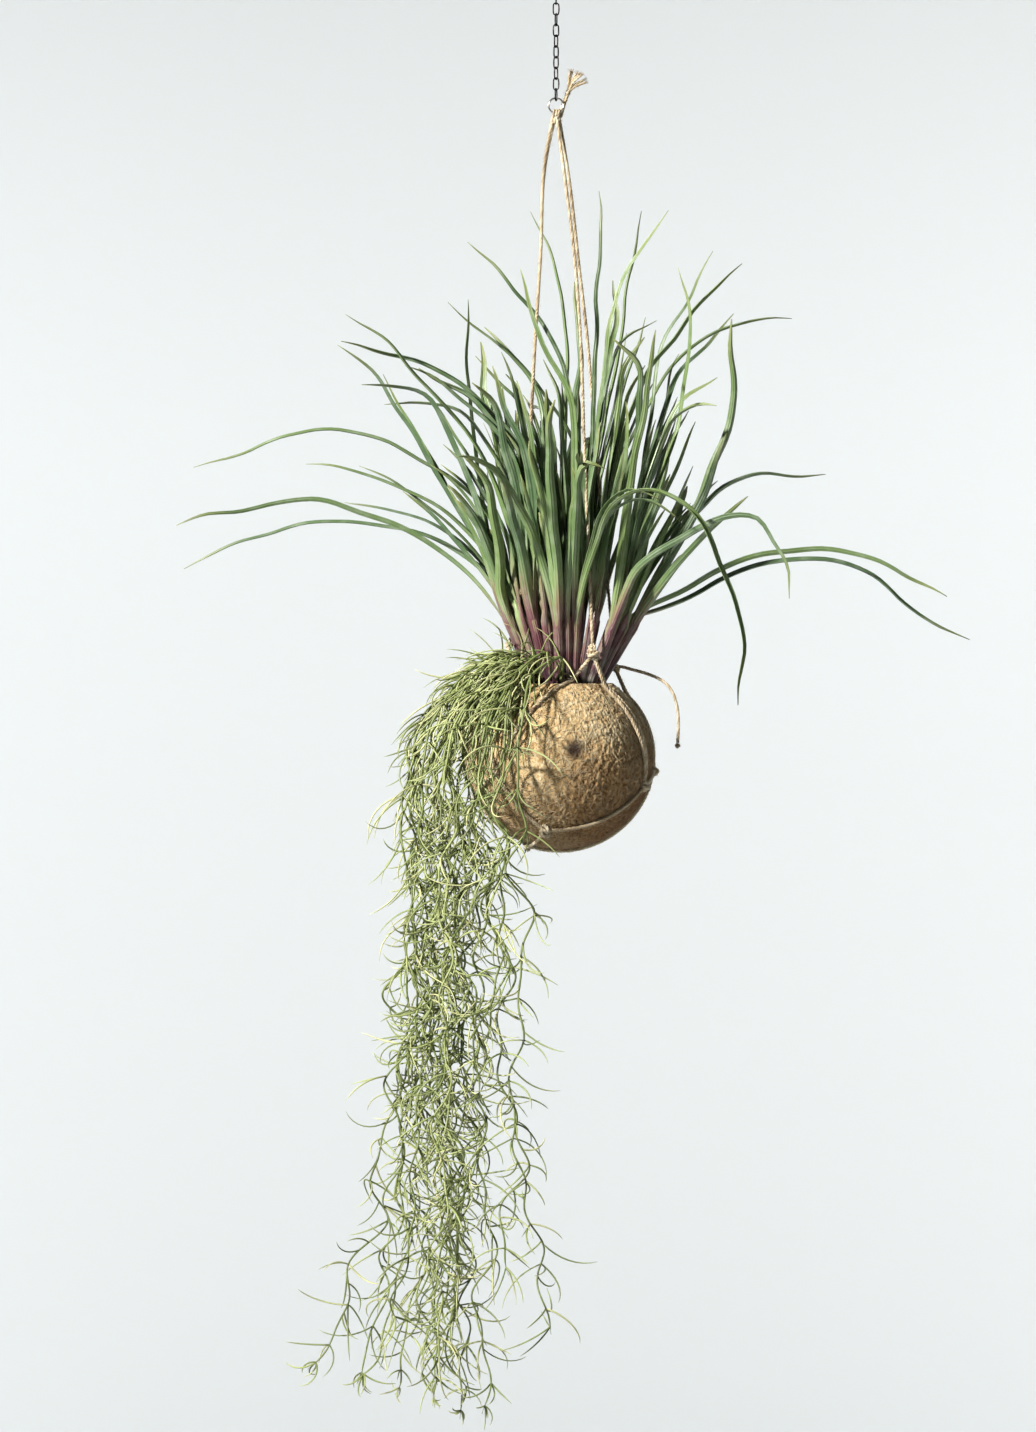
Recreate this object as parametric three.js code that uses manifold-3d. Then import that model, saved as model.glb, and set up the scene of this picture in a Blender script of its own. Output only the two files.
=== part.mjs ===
// A kokedama planter that hangs: a moulded fibre ball in a net of jute twine, planted with a clump
// of upright strap-leaved grass and a long trailing spray of needles. The twine is tied to a small
// split ring on a steel chain, and the chain ends in a plain ring that goes over a hook.
// Millimetres, +Z up. The origin is the inner top of that ring, the point that takes the weight.
// The front is -Y. Everything below the chain is placed from the crown, the centre of the ball's rim.

import * as THREE from "three";
import { mergeVertices } from "three/addons/utils/BufferGeometryUtils.js";
import Module from "manifold-3d";

const wasm = await Module();
wasm.setup();

// ---------------------------------------------------------------- driving dimensions, millimetres
const GAP = 0.3; // between pieces that touch

const TOP_RING = { bore: 17.6, wire: 2.4, turns: 20, sides: 6 };
const CHAIN = { pitch: 7.7, width: 5.0, wire: 0.9, links: 10, turnEach: 98.1 };
const SPLIT_RING = { outer: 12.0, wire: 1.3, width: 2.0, steps: 16, seat: 0.62 };

const CROWN = [2, 0, -515]; // centre of the ball's rim, from the hanging point
const BALL = { radius: 67, height: 65, wall: 4, rimAbove: 53.3, turns: 30, steps: 10 };
const SOIL = { below: 4, dome: 2.5, depth: 56, slack: 0.35 };

const TWINE = { diameter: 2.4, sides: 4, step: 12 };
const KNOT = { hitch: 3.2, net: 2.56, stretch: [1, 0.92, 1.12], seat: 0.45 };
const TAIL = { sides: 8, steps: 15, knot: 2.0 };

const SHEATH = { foot: 3.5, waist: 3.9, top: 4.0, buried: 9, sides: 7 };
const LEAF = {
  widest: 6.8, narrowest: 4.4, tip: 0.9, thinnest: 0.8, keel: 0.24, steps: 5, bendStep: 0.45, parting: 9,
};
const STEM = { radius: 1.0, buried: 8, joint: 33, node: 1.3, twist: 0.8, sway: 6.5 };
const NEEDLE = { radius: 0.8, shortest: 18, longest: 29, tries: 14, closest: 0.8 };

// ---------------------------------------------------------------------------------- hand-set places
// Shoots: foot [x, y] on the soil, lean [x, y] in millimetres sideways for each one up, and length.
const SHOOTS = [
  { foot: [-15, -2], lean: [-0.42, -0.02], length: 58 },
  { foot: [-6, 5], lean: [-0.36, 0.08], length: 60 },
  { foot: [-6, -10], lean: [-0.25, -0.12], length: 55 },
  { foot: [-5, 17], lean: [-0.14, 0.22], length: 60 },
  { foot: [4, 0], lean: [-0.1, 0], length: 60 },
  { foot: [1, -19], lean: [-0.04, -0.2], length: 50 },
  { foot: [10, -15], lean: [0.04, -0.15], length: 55 },
  { foot: [5, 12], lean: [0.02, 0.1], length: 60 },
  { foot: [3, 26], lean: [0.03, 0.35], length: 55 },
  { foot: [15, -3], lean: [0.2, -0.06], length: 58 },
  { foot: [14, 19], lean: [0.25, 0.25], length: 55 },
  { foot: [21, -14], lean: [0.37, -0.16], length: 52 },
  { foot: [22, 8], lean: [0.44, 0.04], length: 52 },
  { foot: [25.5, -4], lean: [0.6, -0.03], length: 52 },
];

// Leaves that shape the outline: the shoot, how far back (+) or forward (-) the tip reaches, and
// the [x, z] points that the leaf passes, from the sheath to the tip.
const OUTLINE_LEAVES = [
  [0, -25, [[-53, 78], [-92, 106], [-136, 124], [-189, 132], [-273, 113]]],
  [0, 18, [[-46, 72], [-79, 99], [-119, 113], [-178, 117], [-225, 105], [-272, 84]]],
  [0, -60, [[-53, 94], [-71, 116]]],
  [0, -8, [[-57, 122], [-101, 158], [-165, 183], [-262, 155]]],
  [0, -75, [[-44, 95], [-52, 138], [-68, 160]]],
  [1, 14, [[-55, 109], [-75, 140], [-96, 171], [-132, 224], [-159, 240]]],
  [1, -30, [[-42, 72], [-53, 114], [-63, 186], [-66, 230], [-66, 279]]],
  [1, 45, [[-36, 82], [-50, 114]]],
  [1, 40, [[-36, 130], [-44, 175], [-48, 204]]],
  [1, 62, [[-38, 120], [-52, 200], [-58, 253]]],
  [2, -45, [[-32, 99], [-53, 158], [-75, 189], [-121, 240], [-151, 262]]],
  [2, -22, [[-26, 110], [-32, 167], [-66, 209], [-119, 237], [-156, 243]]],
  [2, -70, [[-22, 107], [-24, 147], [-35, 186], [-48, 222]]],
  [2, -95, [[-28, 95], [-36, 120], [-40, 141]]],
  [3, 50, [[-12, 170], [-19, 222], [-37, 246], [-55, 262]]],
  [3, 84, [[-8, 110], [-19, 186], [-35, 215], [-61, 244]]],
  [4, 10, [[8, 120], [7, 199], [-9, 253], [-44, 299], [-66, 320]]],
  [4, -40, [[-8, 110], [-20, 165], [-30, 215]]],
  [5, -78, [[4, 110], [7, 186], [-4, 220], [-19, 257], [-30, 288]]],
  [5, -104, [[-4, 95], [-9, 150], [-4, 196]]],
  [6, -112, [[20, 84], [36, 125], [53, 134], [71, 134], [98, 110], [117, 66], [127, 11], [122, -15]]],
  [6, -88, [[13, 100], [14, 140], [21, 154], [31, 150]]],
  [7, 35, [[10, 100], [9, 169], [-19, 220], [-61, 263], [-81, 279]]],
  [7, 6, [[18, 120], [25, 200], [27, 281], [32, 330], [28, 354]]],
  [8, 66, [[8, 150], [7, 266], [-5, 317], [-19, 350]]],
  [8, 96, [[10, 120], [14, 220], [15, 301]]],
  [9, -14, [[30, 130], [36, 220], [41, 276], [55, 303], [77, 340]]],
  [9, -42, [[36, 120], [52, 190], [68, 229], [93, 256], [103, 275], [130, 297]]],
  [9, -80, [[38, 120], [56, 180], [54, 222], [37, 240]]],
  [10, 48, [[30, 130], [48, 250], [56, 321], [61, 348]]],
  [10, 74, [[36, 110], [50, 165], [86, 234], [125, 265], [173, 271]]],
  [10, 98, [[26, 130], [38, 220], [44, 302]]],
  [10, 30, [[45, 105], [70, 155], [94, 200]]],
  [11, -55, [[60, 110], [76, 150], [86, 184], [93, 244], [85, 293]]],
  [11, -92, [[55, 83], [81, 100], [120, 117], [140, 112], [150, 93], [161, 73], [160, 59]]],
  [11, -100, [[50, 110], [60, 185], [67, 245]]],
  [11, -36, [[62, 110], [84, 155], [98, 188]]],
  [12, -8, [[71, 63], [125, 90], [184, 98], [234, 86], [278, 62]]],
  [12, 24, [[73, 58], [127, 84], [184, 93], [225, 79], [274, 43], [298, 31]]],
  [12, 40, [[62, 110], [70, 190], [81, 256], [108, 299], [114, 317]]],
  [12, 62, [[70, 90], [95, 120], [130, 152], [165, 153], [197, 156]]],
  [12, 92, [[60, 120], [80, 200], [100, 240], [132, 277]]],
  [12, 14, [[56, 110], [74, 170], [93, 210], [114, 222]]],
  [13, -45, [[84, 93], [103, 127], [124, 194], [125, 224], [120, 258]]],
  [13, -74, [[75, 75], [92, 95], [110, 112], [132, 131]]],
  [13, 60, [[75, 85], [88, 120], [95, 148]]],
];

// Leaves that fill what is left of each shoot's top: how high and far their tips go.
const FILL_LEAVES = { seed: 11, rise: [120, 285], reach: [35, 190], sideways: 70, spread: 0.5 };
const LEAF_TRIES = 15;

// Trailing strands: bearing in degrees and distance of the foot on the soil, the [x, y] lane that
// the strand hangs in past the ball, and the point where it ends.
const STRANDS = [
  { bearing: 138, out: 27, lane: [-72, 30], end: [-80, 18, -400] },
  { bearing: 158, out: 27.5, lane: [-92, 10], end: [-112, 10, -497] },
  { bearing: 178, out: 27.5, lane: [-108, -12], end: [-164, -10, -474] },
  { bearing: 192, out: 22, lane: [-78, -13], end: [-86, -4, -503] },
  { bearing: 205, out: 27.5, lane: [-98, -38], end: [-108, -34, -438] },
  { bearing: 216, out: 22, lane: [-70, -43], end: [-68, -24, -503] },
  { bearing: 228, out: 27.5, lane: [-80, -66], end: [-84, -52, -460] },
  { bearing: 243, out: 27.5, lane: [-56, -66], end: [-50, -42, -496] },
  { bearing: 258, out: 27.5, lane: [-42, -82], end: [-8, -54, -440] },
  { bearing: 272, out: 27.5, lane: [-28, -86], end: [-36, -66, -396] },
];
const STRAND_SEED = 29;

// Knots on the ball: bearing in degrees from +X towards +Y, and height from the ball's centre.
const BALL_KNOTS = {
  left: { bearing: 229, height: -9 },
  front: { bearing: 257, height: -49 },
  right: { bearing: 337, height: -19 },
  side: { bearing: 4, height: -9 },
  back: { bearing: 112, height: -28 },
  bottom: { bearing: 192, height: -61.3 },
};
// Knots at the shoulder, above the rim, where each leg opens into the net.
const SHOULDER_KNOTS = {
  left: [-36, 5, 28],
  front: [24, -31, 21],
  right: [41, 18, 12],
  back: [-22, 37, 14],
};
// Legs from the hitch under the split ring down to the shoulder knots, as hand-set points.
const LEGS = {
  left: [[-5, -0.3, 402], [-10, 1, 377], [-13, 2, 312], [-17, 2, 248], [-22, 1, 161], [-28, 1, 63],
    [-35, 4.6, 33]],
  front: [[-1.4, -2.8, 402], [3, -4, 374], [12, -10, 298], [15, -14, 255], [18, -19, 170], [22, -27, 68],
    [24, -30.5, 26]],
  right: [[1, 0.6, 402], [6, 2, 374], [15, 3, 298], [20, 5, 255], [27, 9, 170], [36, 15, 68],
    [40.5, 18, 17]],
  back: [[-3, 3.2, 402], [-9.5, 8, 377], [-13, 14, 312], [-17, 22, 248], [-21.5, 31, 150], [-24, 36, 60],
    [-22, 37, 19]],
};
// The loose tail: the only free end, from the right shoulder knot over and down to its own knot.
const LOOSE_TAIL = [
  [44.7, 17.4, 13.6], [48, 16, 12.4], [52, 14.6, 11.2], [57, 13.2, 9.8], [62, 12, 8.4], [67, 10.9, 6.6],
  [72, 10, 4.4], [76.4, 9.3, 1.6], [80, 8.7, -2.2], [82.8, 8.2, -7], [84.6, 7.8, -12.4], [85.8, 7.5, -18],
  [86.3, 7.3, -24], [86.4, 7.1, -30], [86.2, 7, -36], [85.8, 7, -42],
];

// ------------------------------------------------------------------------------------ small tools
const vec = (x, y, z) => new THREE.Vector3(x, y, z);
const UP = vec(0, 0, 1);

/** A repeatable source of numbers from 0 to 1. */
function seeded(seed) {
  let state = seed >>> 0;
  return () => {
    state = (state + 0x6d2b79f5) >>> 0;
    let mixed = Math.imul(state ^ (state >>> 15), state | 1);
    mixed ^= mixed + Math.imul(mixed ^ (mixed >>> 7), mixed | 61);
    return ((mixed ^ (mixed >>> 14)) >>> 0) / 4294967296;
  };
}

/** Keep only positions, weld equal vertices and drop triangles that collapse. */
function weld(geometry) {
  const bare = geometry.index ? geometry.toNonIndexed() : geometry.clone();
  for (const name of Object.keys(bare.attributes)) {
    if (name !== "position") {
      bare.deleteAttribute(name);
    }
  }
  const merged = mergeVertices(bare, 1e-4);
  const index = merged.index.array;
  const kept = [];
  for (let i = 0; i < index.length; i += 3) {
    const [a, b, c] = [index[i], index[i + 1], index[i + 2]];
    if (a !== b && b !== c && c !== a) {
      kept.push(a, b, c);
    }
  }
  merged.setIndex(kept);
  return merged;
}

/** A closed geometry as a solid that can be joined or cut. */
function solid(geometry) {
  const welded = weld(geometry);
  return new wasm.Manifold(new wasm.Mesh({
    numProp: 3,
    vertProperties: Float32Array.from(welded.attributes.position.array),
    triVerts: Uint32Array.from(welded.index.array),
  }));
}

/** The geometry of a solid. */
function surface(body) {
  const mesh = body.getMesh();
  const geometry = new THREE.BufferGeometry();
  geometry.setAttribute("position", new THREE.Float32BufferAttribute(mesh.vertProperties, 3));
  geometry.setIndex(Array.from(mesh.triVerts));
  geometry.computeVertexNormals();
  return geometry;
}

/** All the closed geometries joined into one. */
function fused(geometries) {
  return surface(geometries.map(solid).reduce((whole, piece) => whole.add(piece)));
}

/** A smooth route through the points, sampled at even steps of its length. */
function route(points, steps) {
  const fine = [];
  const last = points.length - 1;
  const perSpan = 12;
  for (let span = 0; span < last; span += 1) {
    const before = points[Math.max(span - 1, 0)];
    const from = points[span];
    const to = points[span + 1];
    const after = points[Math.min(span + 2, last)];
    for (let k = 0; k < perSpan; k += 1) {
      const t = k / perSpan;
      const part = (axis) => {
        const [a, b, c, d] = [before[axis], from[axis], to[axis], after[axis]];
        const straight = 2 * b + (c - a) * t;
        return 0.5 * (straight + (2 * a - 5 * b + 4 * c - d) * t * t + (3 * b - a - 3 * c + d) * t ** 3);
      };
      fine.push(vec(part("x"), part("y"), part("z")));
    }
  }
  fine.push(points[last].clone());
  return evenly(fine, steps);
}

/** The same line cut into equal steps of length. */
function evenly(fine, steps) {
  const run = [0];
  for (let i = 1; i < fine.length; i += 1) {
    run.push(run[i - 1] + fine[i].distanceTo(fine[i - 1]));
  }
  const line = [];
  let at = 0;
  for (let k = 0; k <= steps; k += 1) {
    const goal = (run[run.length - 1] * k) / steps;
    while (at < fine.length - 2 && run[at + 1] < goal) {
      at += 1;
    }
    const share = Math.min(1, Math.max(0, (goal - run[at]) / (run[at + 1] - run[at])));
    line.push(fine[at].clone().lerp(fine[at + 1], share));
  }
  return line;
}

/** Directions along a line at each of its points. */
function headings(line, closed = false) {
  const count = line.length;
  return line.map((point, i) => {
    const back = closed ? line[(i + count - 1) % count] : line[Math.max(i - 1, 0)];
    const ahead = closed ? line[(i + 1) % count] : line[Math.min(i + 1, count - 1)];
    return ahead.clone().sub(back).normalize();
  });
}

/**
 * A closed solid swept along a line. section(i) gives the outline of ring i as [side, face] pairs,
 * and the side direction stays as near as it can to the given one.
 */
function swept(line, section, side, closed = false) {
  const ahead = headings(line, closed);
  const sides = section(0).length;
  const positions = [];
  line.forEach((point, i) => {
    const across = side.clone().addScaledVector(ahead[i], -side.dot(ahead[i])).normalize();
    const face = across.clone().cross(ahead[i]);
    for (const [s, f] of section(i)) {
      const corner = point.clone().addScaledVector(across, s).addScaledVector(face, f);
      positions.push(corner.x, corner.y, corner.z);
    }
  });
  const index = [];
  const rings = closed ? line.length : line.length - 1;
  for (let i = 0; i < rings; i += 1) {
    const low = i * sides;
    const high = ((i + 1) % line.length) * sides;
    for (let k = 0; k < sides; k += 1) {
      const next = (k + 1) % sides;
      index.push(low + k, high + next, low + next, low + k, high + k, high + next);
    }
  }
  if (!closed) {
    const end = (line.length - 1) * sides;
    for (let k = 1; k < sides - 1; k += 1) {
      index.push(0, k, k + 1, end, end + k + 1, end + k);
    }
  }
  const geometry = new THREE.BufferGeometry();
  geometry.setAttribute("position", new THREE.Float32BufferAttribute(positions, 3));
  geometry.setIndex(index);
  return geometry;
}

/** A direction square to a line's general run, for round sections. */
function anySide(line) {
  const run = line[line.length - 1].clone().sub(line[0]).normalize();
  const helper = Math.abs(run.y) < 0.8 ? vec(0, 1, 0) : vec(1, 0, 0);
  return helper.cross(run).normalize();
}

/** The outline of a round section with few sides. */
function polygon(radius, sides) {
  const outline = [];
  for (let k = 0; k < sides; k += 1) {
    const turn = (2 * Math.PI * k) / sides;
    outline.push([radius * Math.cos(turn), radius * Math.sin(turn)]);
  }
  return outline;
}

/** A round rod along a line; radius(i) may change from ring to ring. */
function rod(line, radius, sides) {
  const size = typeof radius === "function" ? radius : () => radius;
  return swept(line, (i) => polygon(size(i), sides), anySide(line));
}

/** A round tube of twine along a smooth curve through the points. */
function cordTube(points, radius, sides, steps) {
  const section = new THREE.Shape(polygon(radius, sides).map(([x, y]) => new THREE.Vector2(x, y)));
  const path = new THREE.CatmullRomCurve3(points);
  return weld(new THREE.ExtrudeGeometry(section, { steps, extrudePath: path, bevelEnabled: false }));
}

/** A small knot of twine. */
function knot(centre, radius) {
  const geometry = new THREE.OctahedronGeometry(radius, 1);
  geometry.scale(...KNOT.stretch);
  geometry.translate(centre.x, centre.y, centre.z);
  return geometry;
}

/** The middle of the end face of a twine that comes out of a knot towards the given point. */
function seated(centre, radius, towards) {
  const way = towards.clone().sub(centre).normalize();
  const [x, y, z] = KNOT.stretch;
  const reach = radius / Math.hypot(way.x / x, way.y / y, way.z / z);
  return centre.clone().addScaledVector(way, reach + KNOT.seat);
}

/** Nearest distance between two straight stretches. */
function stretchGap(p1, q1, p2, q2) {
  const d1 = q1.clone().sub(p1);
  const d2 = q2.clone().sub(p2);
  const r = p1.clone().sub(p2);
  const [a, e, f] = [d1.dot(d1), d2.dot(d2), d2.dot(r)];
  const [b, c] = [d1.dot(d2), d1.dot(r)];
  const spread = a * e - b * b;
  let s = spread > 1e-9 ? Math.min(1, Math.max(0, (b * f - c * e) / spread)) : 0;
  let t = (b * s + f) / e;
  if (t < 0 || t > 1) {
    t = Math.min(1, Math.max(0, t));
    s = Math.min(1, Math.max(0, (b * t - c) / a));
  }
  return d1.multiplyScalar(s).add(p1).distanceTo(d2.multiplyScalar(t).add(p2));
}

/** Keeps what grows in one node clear of every other node. */
class Thicket {
  constructor() {
    this.rods = [];
  }

  /** The straight stretches of a line, each with its own radius and box. */
  static stretches(node, line, radius) {
    const size = typeof radius === "function" ? radius : () => radius;
    return line.slice(1).map((to, i) => {
      const thick = Math.max(size(i), size(i + 1));
      const box = new THREE.Box3().setFromPoints([line[i], to]).expandByScalar(thick + GAP);
      return { node, from: line[i], to, thick, box };
    });
  }

  add(stretches) {
    this.rods.push(...stretches);
  }

  /** Whether two stretches grow from one place, and so are joined there. */
  static joined(one, other) {
    if (one.joints && other.joints) {
      return one.node === other.node && one.joints.some((joint) => other.joints.includes(joint));
    }
    return one.node === other.node || (one.shoot !== undefined && one.shoot === other.shoot);
  }

  /** Whether all these stretches stay clear of what else has grown. */
  clear(stretches) {
    return stretches.every((mine) => this.rods.every((other) => {
      if (!other.box.intersectsBox(mine.box) || Thicket.joined(mine, other)) {
        return true;
      }
      const gap = stretchGap(mine.from, mine.to, other.from, other.to);
      return gap > mine.thick + other.thick + GAP;
    }));
  }
}

// ------------------------------------------------------------------------------------- materials
const FINISHES = {
  steel: { color: 0x4a4643, roughness: 0.35, metalness: 1 },
  nickel: { color: 0xc9c6bf, roughness: 0.22, metalness: 1 },
  jute: { color: 0xc7a878, roughness: 0.95, metalness: 0 },
  fibre: { color: 0xb08c5a, roughness: 0.95, metalness: 0 },
  soil: { color: 0x3b2c20, roughness: 1, metalness: 0 },
  grass: { color: 0x5f7f52, roughness: 0.55, metalness: 0 },
  spray: { color: 0x9aa86a, roughness: 0.6, metalness: 0 },
};

const planter = new THREE.Group();
const planting = new THREE.Group();
planting.position.set(...CROWN);
planter.add(planting);

/** Put a finished geometry in a group as a named piece with a material of its own. */
function place(group, name, geometry, finish) {
  const mesh = new THREE.Mesh(geometry, new THREE.MeshStandardMaterial(FINISHES[finish]));
  mesh.name = name;
  group.add(mesh);
}

// ----------------------------------------------------------------------------- ring, chain, ring
const topRingCentre = -TOP_RING.bore / 2;

function topRing() {
  const middle = (TOP_RING.bore + TOP_RING.wire) / 2;
  const ring = new THREE.TorusGeometry(middle, TOP_RING.wire / 2, TOP_RING.sides, TOP_RING.turns);
  ring.rotateX(Math.PI / 2);
  ring.translate(0, 0, topRingCentre);
  return weld(ring);
}

/** One oval link, its middle at the given height and its face turned by the given angle. */
function chainLink(height, turn) {
  const half = CHAIN.pitch / 2 + CHAIN.wire / 2;
  const round = (CHAIN.width - CHAIN.wire) / 2;
  const line = [];
  for (const [from, centre] of [[0, half - round], [Math.PI, round - half]]) {
    for (let k = 0; k <= 3; k += 1) {
      const angle = from + (Math.PI * k) / 3;
      const across = round * Math.cos(angle);
      const tall = centre + round * Math.sin(angle);
      line.push(vec(across * Math.cos(turn), across * Math.sin(turn), height + tall));
    }
  }
  const face = vec(-Math.sin(turn), Math.cos(turn), 0);
  return swept(line, () => polygon(CHAIN.wire / 2, 4), face, true);
}

const ringFloor = topRingCentre - TOP_RING.bore / 2; // inside bottom of the top ring
const firstLink = ringFloor + GAP - CHAIN.pitch / 2;
const lastLink = firstLink - CHAIN.pitch * (CHAIN.links - 1);

function chain() {
  const links = [];
  for (let i = 0; i < CHAIN.links; i += 1) {
    const turn = THREE.MathUtils.degToRad(90 + i * CHAIN.turnEach);
    links.push(chainLink(firstLink - i * CHAIN.pitch, turn));
  }
  return fused(links);
}

/** The split ring: two turns of flat wire side by side, hung in the last link. */
const splitRingTop = lastLink - CHAIN.pitch / 2 + SPLIT_RING.seat + SPLIT_RING.wire;
const splitRingCentre = splitRingTop - SPLIT_RING.outer / 2;

function splitRing() {
  const middle = (SPLIT_RING.outer - SPLIT_RING.wire) / 2;
  const [w, h] = [SPLIT_RING.width / 2, SPLIT_RING.wire / 2];
  const outline = [[-w, -h], [0, -h * 0.7], [w, -h], [w, h], [0, h * 0.7], [-w, h]];
  const line = [];
  for (let k = 0; k < SPLIT_RING.steps; k += 1) {
    const turn = (2 * Math.PI * k) / SPLIT_RING.steps;
    line.push(vec(middle * Math.cos(turn), 0, splitRingCentre + middle * Math.sin(turn)));
  }
  return swept(line, () => outline, vec(0, 1, 0), true);
}

// ------------------------------------------------------------------------------- ball and soil
/** Distance from the axis to the ball's surface, or to one inside it, at a height from its centre. */
function ballReach(height, inset = 0) {
  const tall = BALL.height - inset;
  return (BALL.radius - inset) * Math.sqrt(Math.max(0, 1 - (height / tall) ** 2));
}

/** Points of the ball's profile between two heights, evenly by angle. */
function ballArc(fromHeight, toHeight, inset, steps) {
  const tall = BALL.height - inset;
  const [from, to] = [Math.asin(fromHeight / tall), Math.asin(toHeight / tall)];
  const points = [];
  for (let k = 0; k <= steps; k += 1) {
    const height = tall * Math.sin(from + ((to - from) * k) / steps);
    points.push(new THREE.Vector2(ballReach(height, inset), height - BALL.rimAbove));
  }
  return points;
}

/** A turned solid about the upright axis, from a profile that starts and ends on the axis. */
function turned(profile, turns) {
  const lathe = new THREE.LatheGeometry(profile, turns);
  lathe.rotateX(Math.PI / 2);
  return weld(lathe);
}

function fibreBall() {
  const outside = ballArc(-BALL.height, BALL.rimAbove - 1, 0, BALL.steps + 1);
  const inside = ballArc(BALL.rimAbove - 1, -(BALL.height - BALL.wall), BALL.wall, BALL.steps);
  outside[0].x = 0;
  inside[inside.length - 1].x = 0;
  const lip = (outside[outside.length - 1].x + inside[0].x) / 2;
  return turned([...outside, new THREE.Vector2(lip, 0), ...inside], BALL.turns);
}

const soilTop = -SOIL.below;

function soilBody() {
  const inset = BALL.wall + GAP + SOIL.slack;
  const rim = BALL.rimAbove - SOIL.below;
  const wall = ballArc(rim - SOIL.depth, rim, inset, 5);
  const edge = wall[wall.length - 1];
  const floor = new THREE.Vector2(0, wall[0].y);
  const dome = new THREE.Vector2(edge.x / 2, edge.y + SOIL.dome * 0.7);
  return turned([floor, ...wall, dome, new THREE.Vector2(0, edge.y + SOIL.dome)], BALL.turns);
}

/** The soil, with a plain hole for each shoot and strand. */
function soil(feet) {
  const holes = feet.map(({ line, radius, sides }) => {
    const below = line[0].clone().sub(line[1]).setLength(GAP).add(line[0]);
    const above = line[1].clone().sub(line[0]).setLength(6).add(line[1]);
    return solid(rod([below, above], radius + GAP, sides));
  });
  return surface(holes.reduce((body, hole) => body.subtract(hole), solid(soilBody())));
}

// ------------------------------------------------------------------------------------- twine
const twineRadius = TWINE.diameter / 2;

/** A point above the ball's skin, by bearing in degrees and height from the ball's centre. */
function onBall(bearing, height, lift) {
  const turn = THREE.MathUtils.degToRad(bearing);
  const reach = ballReach(height);
  const out = vec(reach * Math.cos(turn), reach * Math.sin(turn), height);
  const [wide, tall] = [BALL.radius ** 2, BALL.height ** 2];
  const normal = vec(out.x / wide, out.y / wide, out.z / tall).normalize();
  return out.addScaledVector(normal, lift).add(vec(0, 0, -BALL.rimAbove));
}

/** Push a point out to lie on the ball's skin if it is nearer than that; the mouth is open. */
function lifted(point, lift) {
  const mouth = ballReach(BALL.rimAbove, BALL.wall);
  if (point.z > 1 || (point.z > -6 && Math.hypot(point.x, point.y) < mouth)) {
    return point;
  }
  const centre = vec(0, 0, -BALL.rimAbove);
  const away = point.clone().sub(centre);
  const [wide, tall] = [BALL.radius + lift, BALL.height + lift];
  const stretch = Math.hypot(away.x / wide, away.y / wide, away.z / tall);
  return stretch < 1 ? away.divideScalar(stretch).add(centre) : point;
}

/** A taut strand between two knots that bends over the ball where the ball is in its way. */
function netStrand(from, to, aside = 0) {
  const lift = twineRadius + GAP + 0.15;
  const run = to.clone().sub(from);
  const steps = Math.max(3, Math.round(run.length() / TWINE.step));
  const across = run.clone().cross(from.clone().add(to).add(vec(0, 0, 2 * BALL.rimAbove))).setLength(aside);
  const line = [];
  for (let k = 0; k <= steps; k += 1) {
    const t = k / steps;
    const bow = Math.sin(Math.PI * t);
    line.push(lifted(from.clone().addScaledVector(run, t).addScaledVector(across, bow), lift));
  }
  return rod(line, twineRadius, TWINE.sides);
}

/** The net: four shoulder knots, five knots round the ball, one below it, and what joins them. */
function twineNet() {
  const lift = KNOT.net;
  const round = {};
  for (const [name, { bearing, height }] of Object.entries(BALL_KNOTS)) {
    round[name] = onBall(bearing, height, lift + GAP);
  }
  const shoulder = {};
  for (const [name, place3] of Object.entries(SHOULDER_KNOTS)) {
    shoulder[name] = vec(...place3);
  }
  const knots = [...Object.values(shoulder), ...Object.values(round)];
  const pieces = knots.map((at) => knot(at, KNOT.net));
  const ties = [
    [shoulder.front, round.right, 1.5], [shoulder.front, round.right, -1.5], [shoulder.front, round.left, 0],
    [shoulder.left, round.left, 0], [shoulder.left, round.back, 0], [shoulder.back, round.back, 0],
    [shoulder.right, round.side, 9], [shoulder.right, round.side, 5.5],
    [round.left, round.front, 0], [round.front, round.right, 0], [round.right, round.side, 0],
    [round.side, round.back, 0], [round.back, round.left, 0],
    [round.front, round.bottom, 0], [round.side, round.bottom, 0], [round.back, round.bottom, 0],
  ];
  for (const [from, to, aside] of ties) {
    pieces.push(netStrand(from, to, aside));
  }
  return fused(pieces);
}

/** The hitch under the split ring: a turn round the ring's wire, a knot and four cut tails. */
function twineHitch() {
  const ringFoot = vec(-CROWN[0], 0, splitRingCentre - CROWN[2] - (SPLIT_RING.outer - SPLIT_RING.wire) / 2);
  const turn = new THREE.TorusGeometry(SPLIT_RING.wire / 2 + twineRadius + 0.9, twineRadius, 6, 10);
  turn.rotateY(Math.PI / 2);
  turn.translate(ringFoot.x, ringFoot.y, ringFoot.z);
  const below = vec(ringFoot.x, 0, ringFoot.z - SPLIT_RING.wire / 2 - twineRadius * 2 - 1.6);
  const bundleFoot = vec(below.x + 2, 3.4, below.z + 1);
  const wrap = vec(below.x + 8.5, 4.6, below.z + 20);
  const bundle = rod([below, bundleFoot, wrap], twineRadius * 1.5, 6);
  const pieces = [weld(turn), knot(below, KNOT.hitch), bundle, knot(wrap, twineRadius * 1.7)];
  for (const [x, y, z] of [[1.5, 0, 15], [6, 1.5, 14], [9.5, -1, 12.5], [12.5, 0.5, 7.5]]) {
    const bend = vec(wrap.x + x * 0.45, wrap.y + y * 0.5, wrap.z + z * 0.62);
    const tip = vec(wrap.x + x, wrap.y + y, wrap.z + z);
    pieces.push(rod(route([wrap, bend, tip], 3), (i) => twineRadius * (0.75 + 0.08 * i), 5));
  }
  return { geometry: fused(pieces), below };
}

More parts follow.
